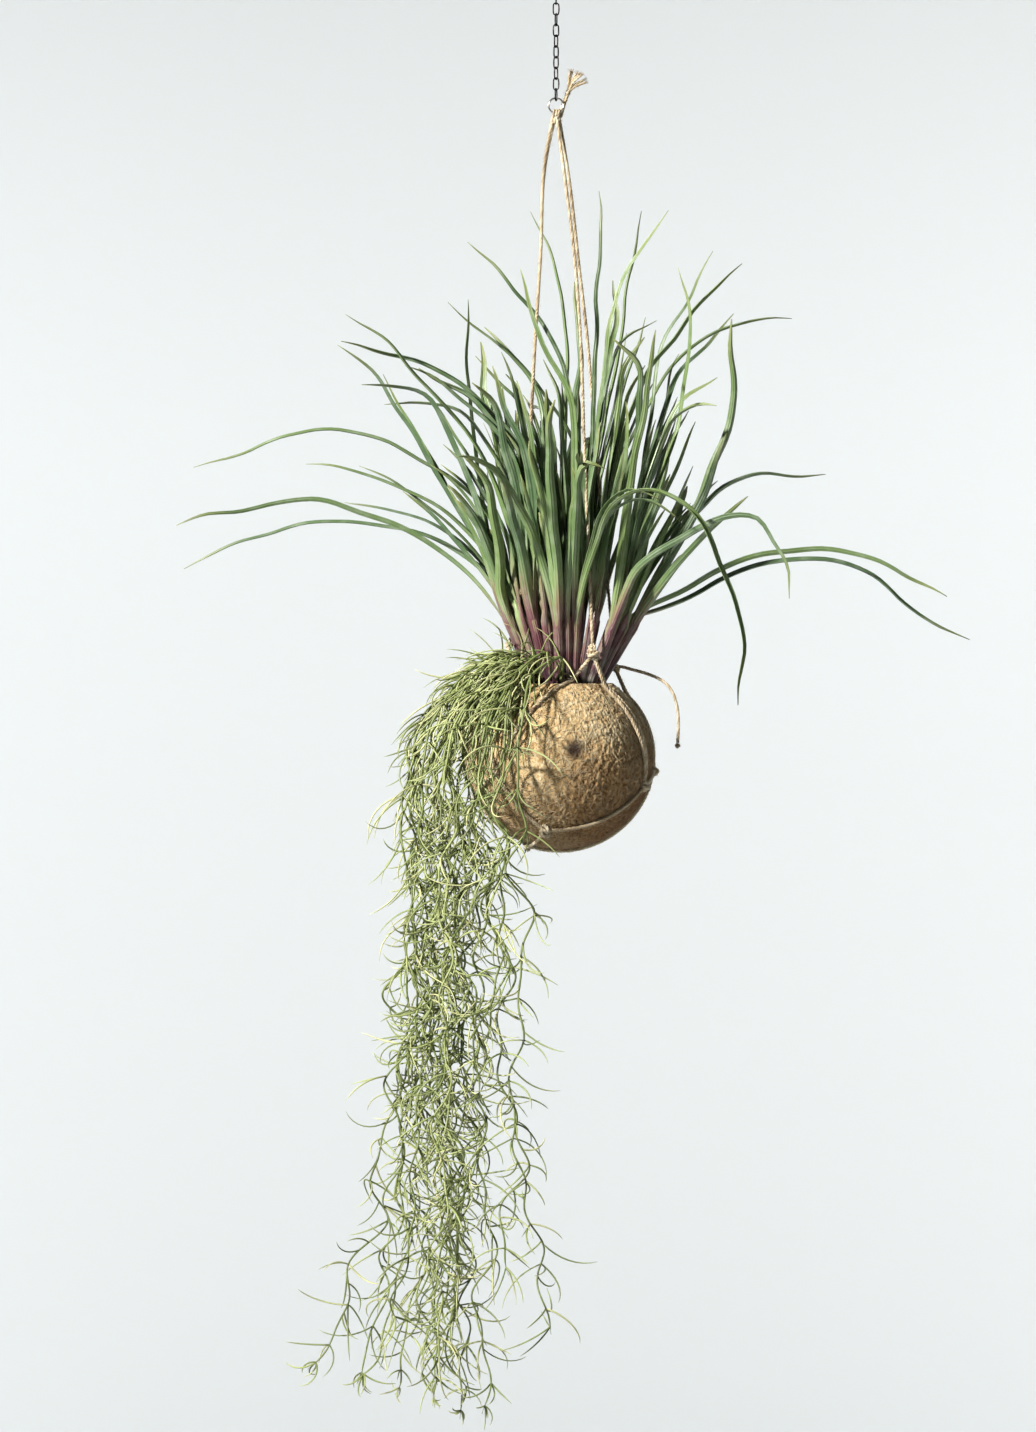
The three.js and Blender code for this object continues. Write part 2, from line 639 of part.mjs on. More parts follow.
// ------------------------------------------------------------------------------------ the grass
/** The line of a shoot's sheath, from its buried foot to its top. */
function sheathLine({ foot, lean, length }) {
  const at = (up) => vec(foot[0] + lean[0] * up, foot[1] + lean[1] * up, soilTop + up);
  return [at(-SHEATH.buried), at(0), at(length * 0.5), at(length)];
}

const sheathRadii = [SHEATH.foot, SHEATH.waist, SHEATH.waist, SHEATH.top];

/** The frame of a shoot's top: where it is, the way it points, and two directions square to that. */
function shootTop(shoot) {
  const line = sheathLine(shoot);
  const along = headings(line)[3];
  const right = anySide(line);
  return { at: line[3], along, right, back: right.clone().cross(along) };
}

/** The direction of a share of the shoot's top, which one leaf grows from. */
function sectorWay(top, sector) {
  const turn = (2 * Math.PI * (sector + 0.5)) / SHEATH.sides;
  return top.right.clone().multiplyScalar(Math.cos(turn)).addScaledVector(top.back, Math.sin(turn));
}

/** Where round the shoot's top a point lies, counted in sectors. */
function sectorOf(top, point) {
  const away = point.clone().sub(top.at);
  const turn = Math.atan2(away.dot(top.back), away.dot(top.right));
  return (turn / (2 * Math.PI)) * SHEATH.sides - 0.5;
}

/** Outline points of a leaf in space, its depth growing towards the tip. */
function leafPoints(start, depth, outline) {
  const tip = outline[outline.length - 1];
  const far = Math.hypot(tip[0] - start.x, tip[1] - start.z);
  return outline.map(([x, z]) => {
    const share = Math.min(1, Math.hypot(x - start.x, z - start.z) / far);
    return vec(x, start.y + (depth - start.y) * share ** 1.2, z);
  });
}

/** A leaf's centre line: out of its sector of the sheath, then through its points. */
function leafLine(top, sector, points, steps) {
  const way = sectorWay(top, sector);
  const root = top.at.clone().addScaledVector(way, SHEATH.top * 0.55);
  const neck = root.clone().addScaledVector(top.along, 9).addScaledVector(way, 2.2);
  const far = points[points.length - 1].distanceTo(root);
  const moved = points.map((point) => {
    const near = Math.max(0, 1 - point.distanceTo(root) / far);
    return point.clone().addScaledVector(way, LEAF.parting * near);
  });
  return route([root, neck, ...moved], steps);
}

/** More steps for a leaf that bends more. */
function leafSteps(top, sector, points) {
  const ahead = headings(leafLine(top, sector, points, 24));
  const bend = ahead.slice(1).reduce((sum, way, i) => sum + way.angleTo(ahead[i]), 0);
  return THREE.MathUtils.clamp(Math.round(LEAF.steps + bend / LEAF.bendStep), LEAF.steps, 2 * LEAF.steps);
}

/** Half width of a leaf at a share of its length: a strap that narrows to its tip. */
function leafHalfWidth(share, width) {
  const strap = share < 0.45 ? 0.86 + 0.31 * share : 1 - ((share - 0.45) / 0.55) ** 1.7;
  return Math.max(LEAF.tip, width * Math.min(1, strap)) / 2;
}

/** The width directions of a leaf: round the sheath at its foot, then square to its run, rolled. */
function leafSides(line, way, along, roll) {
  const ahead = headings(line);
  const foot = along.clone().cross(way).normalize();
  const run = line[line.length - 1].clone().sub(line[0]);
  const square = vec(run.y, -run.x, 0).normalize();
  const flat = (side, i) => side.clone().addScaledVector(ahead[i], -side.dot(ahead[i])).normalize();
  const turned = foot.dot(square.clone().applyAxisAngle(ahead[1], roll)) < 0 ? Math.PI : 0;
  return line.map((point, i) => {
    const goal = flat(square, i).applyAxisAngle(ahead[i], roll + turned);
    const first = flat(foot, i);
    const turn = Math.atan2(first.clone().cross(goal).dot(ahead[i]), first.dot(goal));
    return i < 3 ? first.applyAxisAngle(ahead[i], (turn * i) / 3) : goal;
  });
}

/** Three lines that stand for a blade's width when its room is tested. */
function bladeStretches(node, leaf) {
  const { line, sides, width } = leaf;
  const last = line.length - 1;
  const rail = (sign) => line.slice(1).map((point, i) => {
    const out = sign * (leafHalfWidth((i + 1) / last, width) - 0.4);
    return point.clone().addScaledVector(sides[i + 1], out);
  });
  const thick = LEAF.thinnest + 0.1;
  const blade = [rail(-1), rail(0), rail(1)].flatMap((edge) => Thicket.stretches(node, edge, thick));
  const apart = line[0].clone().lerp(line[1], 0.5);
  const neck = Thicket.stretches(node, [line[0], apart], 1.6);
  blade.push(...Thicket.stretches(node, [apart, line[1]], 1.6));
  return { neck, blade };
}

/** Leaves of the clump, each bent in depth until it is clear of all the others. */
function growLeaves(thicket) {
  const draw = seeded(FILL_LEAVES.seed);
  const tops = SHOOTS.map(shootTop);
  const grown = SHOOTS.map(() => []);
  const tryLeaf = (index, sector, makePoints, roll) => {
    const top = tops[index];
    for (let k = 0; k < LEAF_TRIES; k += 1) {
      const shift = (k % 2 ? 1 : -1) * Math.ceil(k / 2) * 8;
      const points = makePoints(shift);
      const line = leafLine(top, sector, points, leafSteps(top, sector, points));
      const length = line.slice(1).reduce((sum, p, i) => sum + p.distanceTo(line[i]), 0);
      const width = THREE.MathUtils.clamp(LEAF.widest - (length - 190) / 65, LEAF.narrowest, LEAF.widest);
      const leaf = { sector, line, width, sides: leafSides(line, sectorWay(top, sector), top.along, roll) };
      const { neck, blade } = bladeStretches(`leaf ${index}.${sector}`, leaf);
      neck.forEach((stretch) => Object.assign(stretch, { shoot: index }));
      if (thicket.clear(blade) && thicket.clear(neck)) {
        thicket.add([...neck, ...blade]);
        grown[index].push(leaf);
        return true;
      }
    }
    return false;
  };
  const taken = SHOOTS.map(() => new Set());
  SHOOTS.forEach((shoot, index) => {
    const top = tops[index];
    const mine = OUTLINE_LEAVES.filter(([owner]) => owner === index).map(([, depth, outline]) => {
      const points = leafPoints(top.at, depth, outline);
      return { depth, outline, spot: sectorOf(top, points[0]) };
    });
    mine.sort((one, other) => one.spot - other.spot);
    const sectors = mine.map(({ spot }) => Math.round(spot));
    for (let i = 1; i < sectors.length; i += 1) {
      sectors[i] = Math.max(sectors[i], sectors[i - 1] + 1);
    }
    const slip = sectors.reduce((sum, sector, i) => sum + sector - mine[i].spot, 0) / (mine.length || 1);
    mine.forEach(({ depth, outline }, i) => {
      const sector = (sectors[i] - Math.round(slip) + 2 * SHEATH.sides) % SHEATH.sides;
      const roll = (draw() - 0.5) * 1.5;
      const makePoints = (shift) => leafPoints(top.at, depth + shift, outline);
      const beside = [0, 1, -1, 2, -2, 3, -3].map((step) => (sector + step + SHEATH.sides) % SHEATH.sides);
      const found = beside.find((spot) => !taken[index].has(spot) && tryLeaf(index, spot, makePoints, roll));
      if (found !== undefined) {
        taken[index].add(found);
      }
    });
  });
  SHOOTS.forEach((shoot, index) => {
    const top = tops[index];
    for (let sector = 0; sector < SHEATH.sides; sector += 1) {
      const [turn, tall, wide, sag, twist] = [draw(), draw(), draw(), draw(), draw()];
      if (!taken[index].has(sector)) {
        const way = sectorWay(top, sector);
        const bearing = Math.atan2(way.y, way.x) + (turn - 0.5) * FILL_LEAVES.spread;
        const [lowRise, highRise] = FILL_LEAVES.rise;
        const [lowReach, highReach] = FILL_LEAVES.reach;
        const rise = lowRise + (highRise - lowRise) * tall - top.at.z;
        const sideways = Math.abs(Math.cos(bearing));
        const furthest = FILL_LEAVES.sideways / sideways;
        const reach = Math.min(lowReach + (highReach - lowReach) * wide * wide, furthest);
        const droop = (0.25 + 0.75 * sag) * wide;
        const at = (shift, out, up) => vec(
          top.at.x + out * Math.cos(bearing + shift / 60),
          top.at.y + out * Math.sin(bearing + shift / 60),
          top.at.z + up,
        );
        tryLeaf(index, sector, (shift) => [
          at(shift, reach * 0.2, rise * 0.5),
          at(shift, reach * 0.56, rise * 0.88),
          at(shift, reach, rise * (1.03 - 0.2 * droop)),
        ], (twist - 0.5) * 1.2);
      }
    }
  });
  return grown;
}

/**
 * A spike drawn out of a triangle: its rings of three corners, then a point. Returns its faces.
 * The side across from the ridge is split the way its two neighbours are, so that a thin blade that
 * turns keeps its faces apart.
 */
function drawnOut(base, rings, tip) {
  const faces = [];
  let low = base;
  for (const high of rings) {
    for (let k = 0; k < 3; k += 1) {
      const next = (k + 1) % 3;
      if (k === 1) {
        faces.push([low[k], low[next], high[next]], [low[k], high[next], high[k]]);
      } else {
        faces.push([low[k], low[next], high[k]], [low[next], high[next], high[k]]);
      }
    }
    low = high;
  }
  for (let k = 0; k < 3; k += 1) {
    faces.push([low[k], low[(k + 1) % 3], tip]);
  }
  return faces;
}

/** Rings of a blade past its foot: an inner ridge, then the left and the right edge. */
function bladeRings({ line, sides, width }) {
  const last = line.length - 1;
  const ahead = headings(line);
  const rings = [];
  for (let i = 1; i < last; i += 1) {
    const half = leafHalfWidth(i / last, width);
    const ridge = Math.max(LEAF.thinnest, 2 * half * LEAF.keel);
    const inward = sides[i].clone().cross(ahead[i]).negate();
    rings.push([
      line[i].clone().addScaledVector(inward, ridge),
      line[i].clone().addScaledVector(sides[i], -half),
      line[i].clone().addScaledVector(sides[i], half),
    ]);
  }
  return rings;
}

/** A geometry from triangles given by their corners. */
function fromFaces(faces) {
  const positions = faces.flatMap((face) => face.flatMap((corner) => corner.toArray()));
  const geometry = new THREE.BufferGeometry();
  geometry.setAttribute("position", new THREE.Float32BufferAttribute(positions, 3));
  return weld(geometry);
}

/** The rings of corners round a line, and the faces of the skin between them. */
function ringCorners(line, radius, sides, side, twist = () => 0) {
  const ahead = headings(line);
  return line.map((point, i) => {
    const across = side.clone().addScaledVector(ahead[i], -side.dot(ahead[i])).normalize();
    const back = across.clone().cross(ahead[i]);
    return polygon(radius(i), sides).map(([s, f]) => {
      const [c, n] = [Math.cos(twist(i)), Math.sin(twist(i))];
      return point.clone().addScaledVector(across, s * c - f * n).addScaledVector(back, s * n + f * c);
    });
  });
}

/** One shoot: the sheath, and each leaf drawn out of its share of the sheath's top. */
function grassShoot(shoot, leaves) {
  const line = sheathLine(shoot);
  const rings = ringCorners(line, (i) => sheathRadii[i], SHEATH.sides, anySide(line));
  const [bottom, crown] = [line[0], line[3]];
  const faces = [];
  for (let k = 0; k < SHEATH.sides; k += 1) {
    const next = (k + 1) % SHEATH.sides;
    faces.push([bottom, rings[0][k], rings[0][next]]);
    for (let i = 0; i < rings.length - 1; i += 1) {
      faces.push([rings[i][k], rings[i + 1][next], rings[i][next]]);
      faces.push([rings[i][k], rings[i + 1][k], rings[i + 1][next]]);
    }
    const base = [crown, rings[3][next], rings[3][k]];
    const leaf = leaves.find(({ sector }) => sector === k);
    if (leaf) {
      faces.push(...drawnOut(base, bladeRings(leaf), leaf.line[leaf.line.length - 1]));
    } else {
      faces.push(base);
    }
  }
  return fromFaces(faces);
}

// ------------------------------------------------------------------------------- trailing spray
/** A strand's centre line: up out of the soil, over the rim, past the ball and down to its end. */
function strandLine(strand, draw) {
  const turn = THREE.MathUtils.degToRad(strand.bearing);
  const [x, y] = [Math.cos(turn), Math.sin(turn)];
  const foot = vec(strand.out * x, strand.out * y, soilTop + 3);
  const inner = foot.clone().add(vec(0.5 * x, 0.5 * y, 5));
  const [laneX, laneY] = strand.lane;
  const crest = 12 + 9 * draw() + (28 - strand.out) * 0.9;
  const shoulder = 0.62 + 0.1 * draw();
  const points = [
    foot,
    inner,
    foot.clone().add(vec(4 * x, 4 * y, crest * 0.85)),
    vec((strand.out + 16) * x, (strand.out + 16) * y, crest),
    vec(laneX * shoulder, laneY * shoulder, crest - 14),
    vec(laneX * 0.93, laneY * 0.93, -30),
    vec(laneX, laneY, -66),
  ];
  const [endX, endY, endZ] = strand.end;
  const drops = 5;
  for (let k = 1; k <= drops; k += 1) {
    const t = k / drops;
    points.push(vec(laneX + (endX - laneX) * t ** 3, laneY + (endY - laneY) * t, -66 + (endZ + 66) * t));
  }
  const line = route(points, Math.round((crest + 100 - endZ) / STEM.joint));
  return line.map((point, i) => {
    const loose = i ? THREE.MathUtils.clamp((-point.z - 20) / 110, 0.15, 1) : 0;
    const sway = vec(draw() * 2 - 1, (draw() * 2 - 1) * 0.8, 0);
    return lifted(point.addScaledVector(sway, STEM.sway * loose), STEM.radius + 2.2);
  });
}

/** A direction that no stretch of a strand runs in: square to the way it leaves the ball. */
function strandSide({ bearing }) {
  const turn = THREE.MathUtils.degToRad(bearing);
  return vec(-Math.sin(turn), Math.cos(turn), 0);
}

/** A needle from a joint, as the middle and the tip of its curve. */
function needleLine(from, heading, bend, length) {
  const middle = from.clone().addScaledVector(heading, length * 0.52);
  const tip = middle.clone().addScaledVector(heading.clone().lerp(bend, 0.62).normalize(), length * 0.48);
  return [from, middle, tip];
}

/** A needle out of one face of a joint, tried until it is clear of the ball and of all else. */
function tryNeedle(thicket, strand, joint, out, draw) {
  const { node, line, ahead } = strand;
  for (let k = 0; k < NEEDLE.tries; k += 1) {
    const across = out.clone().cross(ahead[joint]);
    const heading = out.clone().addScaledVector(ahead[joint], 0.1 + 0.75 * draw());
    heading.addScaledVector(across, (draw() - 0.5) * 0.9).normalize();
    const bend = heading.clone().add(vec(draw() - 0.5, draw() - 0.5, -0.2 - 1.1 * draw())).normalize();
    const length = NEEDLE.shortest + (NEEDLE.longest - NEEDLE.shortest) * draw();
    const spike = needleLine(line[joint], heading, bend, length * (k > 8 ? 0.7 : 1));
    const stretches = Thicket.stretches(node, spike, NEEDLE.radius);
    stretches.forEach((stretch, i) => Object.assign(stretch, { joints: i ? [] : [joint] }));
    const before = line[joint - 1].clone().sub(line[joint]).normalize();
    const after = joint < line.length - 1 ? line[joint + 1].clone().sub(line[joint]).normalize() : before;
    const apart = Math.max(heading.dot(before), heading.dot(after)) < NEEDLE.closest;
    const free = spike.slice(1).every((point) => lifted(point, 1.6) === point);
    if (apart && free && thicket.clear(stretches)) {
      thicket.add(stretches);
      return spike;
    }
  }
  return null;
}

/** All strands: stems first, then the needles joint by joint, so that each finds its room. */
function growSpray(thicket) {
  const draw = seeded(STRAND_SEED);
  const strands = STRANDS.map((place3, index) => {
    const node = `strand ${index}`;
    for (let k = 0; ; k += 1) {
      const line = strandLine(place3, draw);
      const stretches = Thicket.stretches(node, line, STEM.radius);
      stretches.forEach((stretch, i) => Object.assign(stretch, { joints: [i, i + 1] }));
      if (thicket.clear(stretches) || k > 30) {
        thicket.add(stretches);
        return { node, line, ahead: headings(line), side: strandSide(place3), needles: [] };
      }
    }
  });
  for (const strand of strands) {
    const { side } = strand;
    strand.ahead.forEach((ahead, joint) => {
      const faces = joint > 0 ? [0, 1, 2] : [];
      for (const face of faces) {
        const across = side.clone().addScaledVector(ahead, -side.dot(ahead)).normalize();
        const turn = joint * STEM.twist + ((face + 0.5) * 2 * Math.PI) / 3;
        const back = across.clone().cross(ahead);
        const out = across.multiplyScalar(Math.cos(turn)).addScaledVector(back, Math.sin(turn));
        const spike = tryNeedle(thicket, strand, joint, out, draw);
        if (spike) {
          strand.needles.push({ joint, face, spike });
        }
      }
    });
  }
  return strands;
}

/** The buried foot of a strand. */
function strandFoot(line) {
  return [line[0].clone().add(vec(0, 0, -3 - STEM.buried)), line[0].clone().add(vec(0, 0, -3))];
}

/** The ring of a needle half way out, its corners facing those that it grows from. */
function needleRing(base, [from, middle, tip]) {
  const heading = tip.clone().sub(from).normalize();
  const heart = base[0].clone().add(base[1]).add(base[2]).divideScalar(3);
  return base.map((corner) => {
    const out = corner.clone().sub(heart);
    out.addScaledVector(heading, -out.dot(heading)).setLength(NEEDLE.radius * 0.9);
    return middle.clone().add(out);
  });
}

/** One strand: a slim three-sided stem with a pair of rings at each joint, and its needles. */
function trailingStrand({ line, ahead, side, needles }) {
  const spine = [strandFoot(line)[0], line[0]];
  const turns = [0, 0];
  for (let joint = 1; joint < line.length; joint += 1) {
    for (const end of [-1, 1]) {
      spine.push(line[joint].clone().addScaledVector(ahead[joint], end * STEM.node));
      turns.push(joint * STEM.twist);
    }
  }
  const rings = ringCorners(spine, () => STEM.radius, 3, side, (i) => turns[i]);
  const faces = [[rings[0][0], rings[0][1], rings[0][2]]];
  for (let i = 0; i < rings.length - 1; i += 1) {
    const joint = i >= 2 && i % 2 === 0 ? i / 2 : 0;
    for (let k = 0; k < 3; k += 1) {
      const next = (k + 1) % 3;
      const base = [rings[i][k], rings[i + 1][next], rings[i][next]];
      const grown = needles.find((needle) => joint && needle.joint === joint && needle.face === k);
      if (grown) {
        faces.push(...drawnOut(base, [needleRing(base, grown.spike)], grown.spike[2]));
      } else {
        faces.push(base);
      }
      faces.push([rings[i][k], rings[i + 1][k], rings[i + 1][next]]);
    }
  }
  const end = rings[rings.length - 1];
  const tip = spine[spine.length - 1].clone().addScaledVector(ahead[line.length - 1], NEEDLE.shortest);
  faces.push(...drawnOut([end[0], end[2], end[1]], [], tip));
  return fromFaces(faces);
}

// -------------------------------------------------------------------------------------- assembly
place(planter, "top_ring", topRing(), "steel");
place(planter, "chain", chain(), "steel");
place(planter, "split_ring", splitRing(), "nickel");

const thicket = new Thicket();
const hitch = twineHitch();
place(planting, "twine_hitch", hitch.geometry, "jute");
for (const [name, list] of Object.entries(LEGS)) {
  const points = list.map((point) => vec(...point));
  points.unshift(seated(hitch.below, KNOT.hitch, points.shift()));
  points.push(seated(vec(...SHOULDER_KNOTS[name]), KNOT.net, points.pop()));
  const line = route(points, 16);
  thicket.add(Thicket.stretches(`leg ${name}`, line, twineRadius));
  place(planting, `twine_leg_${name}`, rod(line, twineRadius, TWINE.sides), "jute");
}
place(planting, "twine_net", twineNet(), "jute");
for (const at of Object.values(SHOULDER_KNOTS)) {
  const centre = vec(...at);
  thicket.add(Thicket.stretches("net", [centre, centre.clone().add(UP)], KNOT.net + GAP));
}
for (const [from, to] of [["left", "left"], ["left", "back"], ["back", "back"], ["front", "left"]]) {
  const ends = [vec(...SHOULDER_KNOTS[from]), onBall(BALL_KNOTS[to].bearing, BALL_KNOTS[to].height, 2)];
  const line = [0, 0.15, 0.3, 0.45, 0.6, 0.8, 1].map((t) => lifted(ends[0].clone().lerp(ends[1], t), 1.8));
  thicket.add(Thicket.stretches("net", line, twineRadius));
}

const tailLine = LOOSE_TAIL.map((point) => vec(...point));
tailLine.unshift(seated(vec(...SHOULDER_KNOTS.right), KNOT.net, tailLine.shift()));
const tailEnd = tailLine[tailLine.length - 1];
const tailKnotAt = tailEnd.clone().add(vec(0, 0, -TAIL.knot * 1.12 - GAP));
thicket.add(Thicket.stretches("tail", tailLine, twineRadius));
place(planting, "loose_tail", cordTube(tailLine, twineRadius, TAIL.sides, TAIL.steps), "jute");
place(planting, "loose_tail_knot", knot(tailKnotAt, TAIL.knot), "jute");

place(planting, "fibre_ball", fibreBall(), "fibre");

SHOOTS.forEach((shoot, index) => {
  const line = sheathLine(shoot).slice(1);
  const stretches = Thicket.stretches(`sheath ${index}`, line, (i) => sheathRadii[i + 1]);
  stretches.forEach((stretch) => Object.assign(stretch, { shoot: index }));
  thicket.add(stretches);
});
const strands = growSpray(thicket);
const leaves = growLeaves(thicket);
const feet = [
  ...SHOOTS.map((shoot) => {
    const line = sheathLine(shoot).slice(0, 2);
    return { line, radius: SHEATH.waist, sides: SHEATH.sides };
  }),
  ...strands.map(({ line }) => ({ line: strandFoot(line), radius: STEM.radius + 0.4, sides: 6 })),
];
place(planting, "soil", soil(feet), "soil");
SHOOTS.forEach((shoot, index) => {
  const name = `grass_shoot_${String(index + 1).padStart(2, "0")}`;
  place(planting, name, grassShoot(shoot, leaves[index]), "grass");
});
strands.forEach((strand, index) => {
  const name = `trailing_strand_${String(index + 1).padStart(2, "0")}`;
  place(planting, name, trailingStrand(strand), "spray");
});

export default planter;
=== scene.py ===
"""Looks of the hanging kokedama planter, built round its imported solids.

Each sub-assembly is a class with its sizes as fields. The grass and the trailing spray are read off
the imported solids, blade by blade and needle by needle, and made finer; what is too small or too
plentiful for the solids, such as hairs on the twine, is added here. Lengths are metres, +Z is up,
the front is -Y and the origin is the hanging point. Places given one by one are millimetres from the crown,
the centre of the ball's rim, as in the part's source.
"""

import logging
import math
from collections.abc import Callable, Sequence
from dataclasses import dataclass, field
from enum import Enum
from functools import partial

import bpy
import numpy as np
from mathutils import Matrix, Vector, noise


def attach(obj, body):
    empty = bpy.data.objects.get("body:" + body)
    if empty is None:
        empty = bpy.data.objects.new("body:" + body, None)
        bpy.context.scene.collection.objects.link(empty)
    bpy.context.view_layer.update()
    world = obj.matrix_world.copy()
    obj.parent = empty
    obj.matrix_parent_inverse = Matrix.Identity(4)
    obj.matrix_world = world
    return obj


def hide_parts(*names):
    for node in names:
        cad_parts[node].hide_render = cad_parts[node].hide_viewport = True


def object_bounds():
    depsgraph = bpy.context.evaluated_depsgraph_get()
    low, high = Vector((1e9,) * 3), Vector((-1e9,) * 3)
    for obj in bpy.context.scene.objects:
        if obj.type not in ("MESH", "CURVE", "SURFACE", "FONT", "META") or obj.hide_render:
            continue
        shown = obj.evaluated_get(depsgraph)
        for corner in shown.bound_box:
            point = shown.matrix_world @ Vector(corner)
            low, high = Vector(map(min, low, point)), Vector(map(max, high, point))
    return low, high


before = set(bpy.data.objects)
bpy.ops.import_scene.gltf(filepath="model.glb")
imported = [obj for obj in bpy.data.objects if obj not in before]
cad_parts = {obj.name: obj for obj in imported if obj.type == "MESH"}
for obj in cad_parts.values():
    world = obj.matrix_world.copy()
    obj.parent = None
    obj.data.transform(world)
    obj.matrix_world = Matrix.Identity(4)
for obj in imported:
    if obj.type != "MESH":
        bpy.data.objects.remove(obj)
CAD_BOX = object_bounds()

log = logging.getLogger("planter")

MM = 0.001
TAU = 2 * math.pi
PHASE = (0.0, 6.3)  # where a wave may start, in radians
CROWN = np.array((0.002, 0.0, -0.515))
FRONT_TO_BACK = np.array([[0.0, 1.0, 0.0]])
TURNED_OVER = (0, 3, 2, 1)  # a face's corners in the other sense
BODY = "root"
WELD_GAP = 0.00001
Line = np.ndarray
Place = tuple[float, float, float]
Range = tuple[float, float]
Maker = Callable[..., bpy.types.Node]
Material = bpy.types.Material


class Slot(Enum):
    """The record's material slots."""

    DARK_STEEL = "dark_steel"
    NICKEL = "nickel"
    JUTE = "jute"
    FIBRE = "pressed_fibre"
    SOIL = "soil"
    GRASS = "grass"
    SPRAY = "spray"


# ------------------------------------------------------------------------------------ small tools
def linear(colour: str) -> tuple[float, float, float, float]:
    """Turn an sRGB hex colour into linear values.

    Args:
        colour: the colour as "#rrggbb".

    Returns:
        Red, green, blue and a full alpha for a shader socket.
    """
    parts = [int(colour[i : i + 2], 16) / 255 for i in (1, 3, 5)]
    r, g, b = (c / 12.92 if c <= 0.04045 else ((c + 0.055) / 1.055) ** 2.4 for c in parts)
    return (r, g, b, 1.0)


def planted(points: Sequence) -> Line:
    """Turn hand-set crown millimetres, of one point or more, into metres in the row frame."""
    return np.asarray(points, float) * MM + CROWN


def unit(vectors: np.ndarray) -> np.ndarray:
    """Scale vectors along the last axis to length 1."""
    return vectors / np.maximum(np.linalg.norm(vectors, axis=-1, keepdims=True), 1e-12)


def square(vectors: np.ndarray, ahead: np.ndarray) -> np.ndarray:
    """Turn vectors square to the given headings, at length 1."""
    return unit(vectors - ahead * np.sum(vectors * ahead, axis=-1, keepdims=True))


def run_of(line: Line) -> np.ndarray:
    """The distance along a line at each of its points."""
    return np.concatenate(([0.0], np.cumsum(np.linalg.norm(np.diff(line, axis=0), axis=1))))


def smooth(keys: np.ndarray, count: int, guide: Line | None = None) -> np.ndarray:
    """Even samples of a smooth run through key points, or through key rows of points.

    Args:
        keys: key points (n, 3) or key rows (n, m, 3).
        count: how many samples to take.
        guide: the line whose length sets the spacing; the keys themselves by default.

    Returns:
        The samples, in the form of the keys.
    """
    run = run_of(keys if guide is None else guide)
    slope = np.gradient(keys, run, axis=0)
    goal = np.linspace(0.0, run[-1], count)
    at = np.clip(np.searchsorted(run, goal, side="right") - 1, 0, len(run) - 2)
    span = (run[at + 1] - run[at]).reshape((-1,) + (1,) * (keys.ndim - 1))
    t = (goal - run[at]).reshape(span.shape) / span
    start = (2 * t**3 - 3 * t**2 + 1) * keys[at] + (t**3 - 2 * t**2 + t) * span * slope[at]
    end = (3 * t**2 - 2 * t**3) * keys[at + 1] + (t**3 - t**2) * span * slope[at + 1]
    return start + end


def transported(line: Line) -> tuple[Line, Line, Line]:
    """Frames along a line that never twist.

    Args:
        line: the points (n, 3).

    Returns:
        The headings and two directions square to them, each (n, 3).
    """
    ahead = unit(np.gradient(line, axis=0))
    helper = np.array((0.0, 1.0, 0.0)) if abs(ahead[0][1]) < 0.8 else np.array((1.0, 0.0, 0.0))
    across = [unit(np.cross(helper, ahead[0]))]
    for way in ahead[1:]:
        across.append(unit(across[-1] - way * np.dot(across[-1], way)))
    side = np.array(across)
    return ahead, side, np.cross(ahead, side)


def turned(outline: np.ndarray, turns: int) -> np.ndarray:
    """Turn an outline about the upright axis.

    Args:
        outline: its radii and heights (n, 2).
        turns: how many points stand round the axis.

    Returns:
        The points, ring by ring (n * turns, 3).
    """
    angle = TAU * np.arange(turns) / turns
    out, up = outline[:, :1], outline[:, 1:]
    return np.stack([out * np.cos(angle), out * np.sin(angle), up + 0 * angle], axis=-1).reshape(-1, 3)


def lattice(rows: int, turns: int) -> np.ndarray:
    """The faces between rings of points that run ring by ring.

    Args:
        rows: how many rings there are.
        turns: how many points a ring has.

    Returns:
        The corners of each face (n, 4).
    """
    ring, k = np.meshgrid(np.arange(rows - 1) * turns, np.arange(turns), indexing="ij")
    nxt = (k + 1) % turns
    return np.stack([ring + k, ring + nxt, ring + turns + nxt, ring + turns + k], axis=-1).reshape(-1, 4)


def placed(name: str, data: bpy.types.ID) -> bpy.types.Object:
    """Add an object to the scene.

    Args:
        name: its name.
        data: its mesh, lamp or camera.

    Returns:
        The new object.
    """
    made = bpy.data.objects.new(name, data)
    bpy.context.scene.collection.objects.link(made)
    return made


